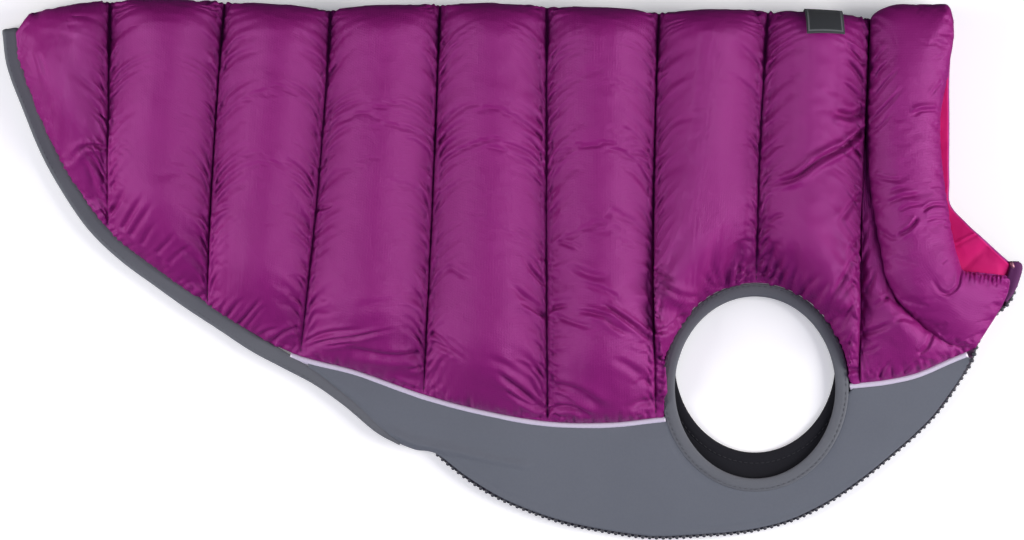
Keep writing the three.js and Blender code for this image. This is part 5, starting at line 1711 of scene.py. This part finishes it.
def build_hem():
    line = spline(HEM_LINE, 1.6)
    near_z, far_z = REST_MID + SLIT + HEM_THICK / 2, HEM_THICK / 2
    mid, r = (near_z + far_z) / 2, (near_z - far_z) / 2
    t = np.gradient(line, axis=0)
    t /= np.linalg.norm(t, axis=1)[:, None]
    side = np.stack([-t[:, 1], t[:, 0]], 1)
    c, a, u = [], [], []
    for k in range(len(line) - 1, -1, -1):
        c.append((*line[k], near_z + 0.12 * value_noise(line[k][None], 12.0, 91)[0]))
        a.append((*(-side[k]), 0))
        u.append((0, 0, 1))
    out = np.array([*(-t[0]), 0])
    for deg in np.linspace(0, 180, 13)[1:-1]:
        w = math.radians(deg)
        n = out * math.sin(w) + np.array((0, 0, math.cos(w)))
        c.append(np.array((*line[0], mid)) + n * r)
        a.append((*(-side[0]), 0))
        u.append(n)
    for k in range(len(line)):
        c.append((*line[k], far_z))
        a.append((*(-side[k]), 0))
        u.append((0, 0, -1))
    prof = binding_profile(HEM_WIDTH + 2.6, HEM_THICK, 26, groove=(HEM_WIDTH * 0.24, 0.3, 0.32), power=3.2)
    prof[:, 0] -= 1.1
    # it narrows to the outer edge where it ends at the belly
    to_end = lengths(line)[-1] - lengths(line)
    narrow = np.interp(to_end, (0, 4, 9, 21, 41, 60, 76), (0.12, 0.26, 0.36, 0.50, 0.58, 0.82, 1.0))
    wide = np.concatenate([narrow[::-1], np.full(11, narrow[0]), narrow])
    outer = prof[:, 0].max() if HEM_OUT > 0 else prof[:, 0].min()
    obj = band("hem_binding_cloth", np.array(c, float), np.array(a, float), np.array(u, float), prof, False, wide, outer)
    dress(obj, binding_mat)
    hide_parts("hem_binding")
    hem_flat = 0.5 * sum(p.area for p in obj.data.polygons)
    print("hem", hem_flat, lengths(line)[-1])
    k = slice(0, len(line))
    path = np.array(c, float)[k] + np.array(a, float)[k] * (outer + (HEM_WIDTH * 0.24 - outer) * narrow[::-1])[:, None]
    path[:, 2] = near_z + HEM_THICK / 2 * 0.9 - 0.12
    stitches("hem_stitches", path, np.tile((0.0, 0.0, 1.0), (len(path), 1)), 2.6, 1.9, 0.32, thread_mat)


build_hem()


def build_piping(edge, side, start, stop, name, node_name, close=0.3):
    line = edge.copy()
    if side < 0:
        line = line + np.stack([0 * line[:, 0], far_shift(line[:, 0])], -1)
    first, last = line[0] - line[3], line[-1] - line[-4]
    line = np.vstack([line[0] + 6 * first / np.linalg.norm(first), line, line[-1] + 6 * last / np.linalg.norm(last)])
    line = resample(line, 0.5)
    line = beside(line, -(PIPING_WIDTH / 2 + GAP - close))
    line = line[(line[:, 0] > start) & (line[:, 0] < stop)]
    line = resample(line, 0.9)
    n = len(line)
    z = REST_MID + SLIT + 0.2 + 1.1 if side > 0 else GAP + 1
    t = np.gradient(line, axis=0)
    t /= np.linalg.norm(t, axis=1)[:, None]
    across = np.column_stack([-t[:, 1], t[:, 0], np.zeros(n)])
    bob = 0.05 * np.sin(np.arange(n) * 0.9 * 2 * math.pi / 2.4) + 0.10 * value_noise(line, 7.0, 95)
    c = np.column_stack([line, z + bob])
    prof = binding_profile(PIPING_WIDTH + 0.05, 2.3 if side > 0 else 1.9, 16, groove=(-PIPING_WIDTH * 0.36, 0.5, 0.4), power=2.2)
    obj = band(name, c, across, np.tile((0.0, 0.0, 1.0), (n, 1)), prof, False)
    dress(obj, piping_mat)
    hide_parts(node_name)
    return obj


build_piping(rear_edge, 1, -104.5, 72.4, "piping_rear_near_cord", "piping_rear_near")
build_piping(rear_edge, -1, -104.5, 72.0, "piping_rear_far_cord", "piping_rear_far")
build_piping(front_edge, 1, 158.5, 214.6, "piping_front_near_cord", "piping_front_near", 0.75)
build_piping(front_edge, -1, 159.0, 214.6, "piping_front_far_cord", "piping_front_far")

# ---------------------------------------------------------------- build: zip

ZIP_PITCH = 3.2


def build_zip():
    line = spline(ZIP_LINE, 0.8)
    n = len(line)
    k = np.linspace(0, 1, n)
    z = 2.65 + 2.6 * smooth(k, 0.74, 0.93)
    t = np.gradient(line, axis=0)
    t /= np.linalg.norm(t, axis=1)[:, None]
    outward = np.column_stack([t[:, 1], -t[:, 0], np.zeros(n)])
    c = np.column_stack([line, z])
    up = np.tile((0.0, 0.0, 1.0), (n, 1))
    tape = band("zip_tape", c - outward * 2.5, -outward, up, binding_profile(5.2, 0.75, 16, power=4), False)
    dress(tape, tape_mat)
    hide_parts("zip_chain")
    sums = lengths(c)
    count = int(sums[-1] / ZIP_PITCH)
    verts, faces = [], []
    for i in range(count * 2):
        s = (i + 0.5) * ZIP_PITCH / 2
        if s > sums[-1] - 3:
            break
        p = at_length(c, sums, s)
        o = at_length(outward, sums, s)
        tt = np.array([-o[1], o[0], 0])
        upper = i % 2 == 0
        lift, out = (0.75, 0.45) if upper else (-0.75, -0.1)
        base = len(verts)
        # one moulded tooth: a rounded block
        for h, shrink in ((-0.8, 0.72), (-0.45, 1.0), (0.45, 1.0), (0.8, 0.72)):
            for q in range(8):
                w = q * math.pi / 4 + math.pi / 8
                verts.append(p + o * (out + math.cos(w) * 1.15 * shrink) + tt * math.sin(w) * 1.02 * shrink + np.array((0, 0, lift + h)))
        for r in range(3):
            for q in range(8):
                faces.append([base + r * 8 + q, base + r * 8 + (q + 1) % 8, base + (r + 1) * 8 + (q + 1) % 8, base + (r + 1) * 8 + q])
        faces.append([base + q for q in range(8)][::-1])
        faces.append([base + 24 + q for q in range(8)])
    teeth = mesh_object("zip_teeth", np.array(verts), faces)
    dress(teeth, zip_mat)
    # the tape is folded over the zip's upper end, and the slider sits under the fold
    part = np.flatnonzero(sums > sums[-1] - 21.0)
    hood_c = c[part] - outward[part] * 1.5 + (0, 0, 1.25)
    s_part = sums[-1] - sums[part]
    wide = np.sqrt(np.clip(1 - (1 - np.clip(s_part / 2.6, 0.02, 1)) ** 2, 0.02, 1)) * (0.40 + 0.60 * (1 - smooth(s_part, 9.0, 20.5)))
    hood = band("zip_garage", hood_c, -outward[part], up[part], binding_profile(6.3, 3.0, 20, groove=(1.5, 0.35, 0.35), power=2.8), False, wide)
    dress(hood, hood_mat)
    # slider: a small rounded body
    verts, faces = [], []
    for centre, size, turn in (((235.3, 2.4, 6.9), (1.0, 1.9, 1.3), 24),):
        base = len(verts)
        ca, sa = math.cos(math.radians(turn)), math.sin(math.radians(turn))
        for h in np.linspace(-1, 1, 7):
            ring_scale = math.sqrt(max(0.0, 1 - h**4)) * 0.92 + 0.08
            for q in range(16):
                w = q * math.pi / 8
                x = np.sign(math.cos(w)) * abs(math.cos(w)) ** 0.6 * size[0] * ring_scale
                y = np.sign(math.sin(w)) * abs(math.sin(w)) ** 0.6 * size[1] * ring_scale
                verts.append((centre[0] + x * ca - y * sa, centre[1] + x * sa + y * ca, centre[2] + h * size[2]))
        for r in range(6):
            for q in range(16):
                faces.append([base + r * 16 + q, base + r * 16 + (q + 1) % 16, base + (r + 1) * 16 + (q + 1) % 16, base + (r + 1) * 16 + q])
        faces.append([base + q for q in range(16)][::-1])
        faces.append([base + 96 + q for q in range(16)])
    slider = mesh_object("zip_slider", np.array(verts), faces)
    # its pink tint is a painted reflection of the lining
    dress(slider, slider_pink_reflection_mat)


build_zip()

# ---------------------------------------------------------------- build: label

LABEL_X, LABEL_WIDTH, LABEL_NEAR, LABEL_FAR, LABEL_THICK = 146.0, 18.0, 13.0, 6.0, 0.8


def build_label():
    """Blank woven patch over the spine, lying on the shell's own points."""
    spine_n = back_rings.shape[0]
    top = int(round((ROWS - 1) / (ROWS + OVER - 1) * (FINE_ROWS - 1)))
    lo = np.argmin(np.abs(back_rings[:, top, 0] - (LABEL_X - LABEL_WIDTH / 2)))
    hi = np.argmin(np.abs(back_rings[:, top, 0] - (LABEL_X + LABEL_WIDTH / 2)))
    stations = np.linspace(lo, hi, 26)
    base = []
    for q in stations:
        i = min(int(q), spine_n - 2)
        ring = back_rings[i] * (1 - (q - i)) + back_rings[i + 1] * (q - i)
        sums = lengths(ring[: FINE_ROWS + 6])
        at = np.linspace(sums[top] - LABEL_NEAR - 7.5 + 1.0 * (2 * (q - lo) / (hi - lo) - 1), sums[top] + LABEL_FAR, 34)
        base.append(at_length(ring[: FINE_ROWS + 6], sums, at))
    base = np.array(base)
    # stiff: each row of it is nearly straight, and it bridges the small creases under it
    u = np.linspace(-1, 1, len(base))
    for j in range(base.shape[1]):
        for q in range(3):
            fit = np.polyfit(u, base[:, j, q], 2)
            fit[0] *= 0.35
            base[:, j, q] = np.polyval(fit, u)
    for _ in range(6):
        base[:, 1:-1] = base[:, 1:-1] * 0.5 + (base[:, :-2] + base[:, 2:]) * 0.25
    base[:, :, 0] += np.linspace(0.8, -0.6, base.shape[1])[None, :]
    du, dv = np.gradient(base, axis=0), np.gradient(base, axis=1)
    nrm = np.cross(du, dv)
    nrm /= np.linalg.norm(nrm, axis=-1, keepdims=True)
    if nrm[0, 0, 2] < 0:
        nrm = -nrm
    obj = thin_body("label_cloth", base + nrm * 1.45, base + nrm * 0.75)
    obj.data.materials.append(label_mat)
    obj.data.materials.append(label_edge)
    # the woven border
    m = base.shape[1]
    for i in range(len(base) - 1):
        for j in range(m - 1):
            if i in (1, len(base) - 3) or j == 1 or j == m - 3:
                if 1 <= i <= len(base) - 3 and 1 <= j <= m - 3:
                    obj.data.polygons[i * 2 * m + j].material_index = 1
    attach(obj, "root")
    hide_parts("label")
    return base + nrm * 1.45


build_label()

# ---------------------------------------------------------------- floor and light


def build_stage():
    bpy.ops.mesh.primitive_plane_add(size=8, location=(0, 0, -0.0006))
    floor = bpy.context.object
    floor.name = "floor"
    mat, nodes, links, bsdf = new_material("floor", (0.95, 0.95, 0.95), 0.9)
    bsdf.inputs["Specular IOR Level"].default_value = 0.1
    bsdf.inputs["Emission Color"].default_value = (1, 1, 1, 1)
    bsdf.inputs["Emission Strength"].default_value = 0.2
    floor.data.materials.append(mat)
    floor.visible_diffuse = False
    floor.visible_glossy = False

    def area(name, loc, size, power, target=(0, 0, 0.01), color=(1, 1, 1)):
        data = bpy.data.lights.new(name, "AREA")
        data.shape = "RECTANGLE"
        data.size, data.size_y = size
        data.energy = power
        data.color = color
        ob = bpy.data.objects.new(name, data)
        ob.location = loc
        ob.rotation_mode = "QUATERNION"
        ob.rotation_quaternion = (Vector(target) - Vector(loc)).to_track_quat("-Z", "Y")
        bpy.context.scene.collection.objects.link(ob)

    area("left", (-1.35, -0.08, 0.62), (0.75, 1.3), 22.5, color=(1.0, 0.97, 0.96))
    area("right", (1.35, -0.08, 0.62), (0.75, 1.3), 29.0, color=(1.0, 0.97, 0.96))
    world = bpy.data.worlds.new("world")
    world.use_nodes = True
    # a soft sky that darkens below the horizon
    wn, wl = world.node_tree.nodes, world.node_tree.links
    back = wn["Background"]
    back.inputs[0].default_value = (0.86, 0.90, 1.0, 1)
    tex = wn.new("ShaderNodeTexCoord")
    sep = wn.new("ShaderNodeSeparateXYZ")
    wl.new(tex.outputs["Generated"], sep.inputs[0])
    mr = wn.new("ShaderNodeMapRange")
    mr.inputs["From Min"].default_value = -0.15
    mr.inputs["From Max"].default_value = 0.9
    mr.inputs["To Min"].default_value = 0.08
    mr.inputs["To Max"].default_value = 0.42
    wl.new(sep.outputs[2], mr.inputs["Value"])
    # and towards the spine's side
    side = wn.new("ShaderNodeMapRange")
    side.inputs["From Min"].default_value = -0.1
    side.inputs["From Max"].default_value = 0.8
    side.inputs["To Min"].default_value = 1.0
    side.inputs["To Max"].default_value = 0.22
    wl.new(sep.outputs[1], side.inputs["Value"])
    wl.new(math_node(wn, wl, "MULTIPLY", mr.outputs["Result"], side.outputs["Result"]), back.inputs[1])
    # the light from both ends of the y axis is bluer
    ends = wn.new("ShaderNodeMapRange")
    ends.inputs["From Min"].default_value = 0.15
    ends.inputs["From Max"].default_value = 0.8
    wl.new(math_node(wn, wl, "ABSOLUTE", sep.outputs[1]), ends.inputs["Value"])
    mix = wn.new("ShaderNodeMixRGB")
    mix.inputs[1].default_value = (0.86, 0.90, 1.0, 1)
    mix.inputs[2].default_value = (0.36, 0.42, 1.0, 1)
    wl.new(ends.outputs["Result"], mix.inputs[0])
    wl.new(mix.outputs[0], back.inputs[0])
    bpy.context.scene.world = world
    bpy.context.scene.view_settings.view_transform = "Standard"


build_stage()
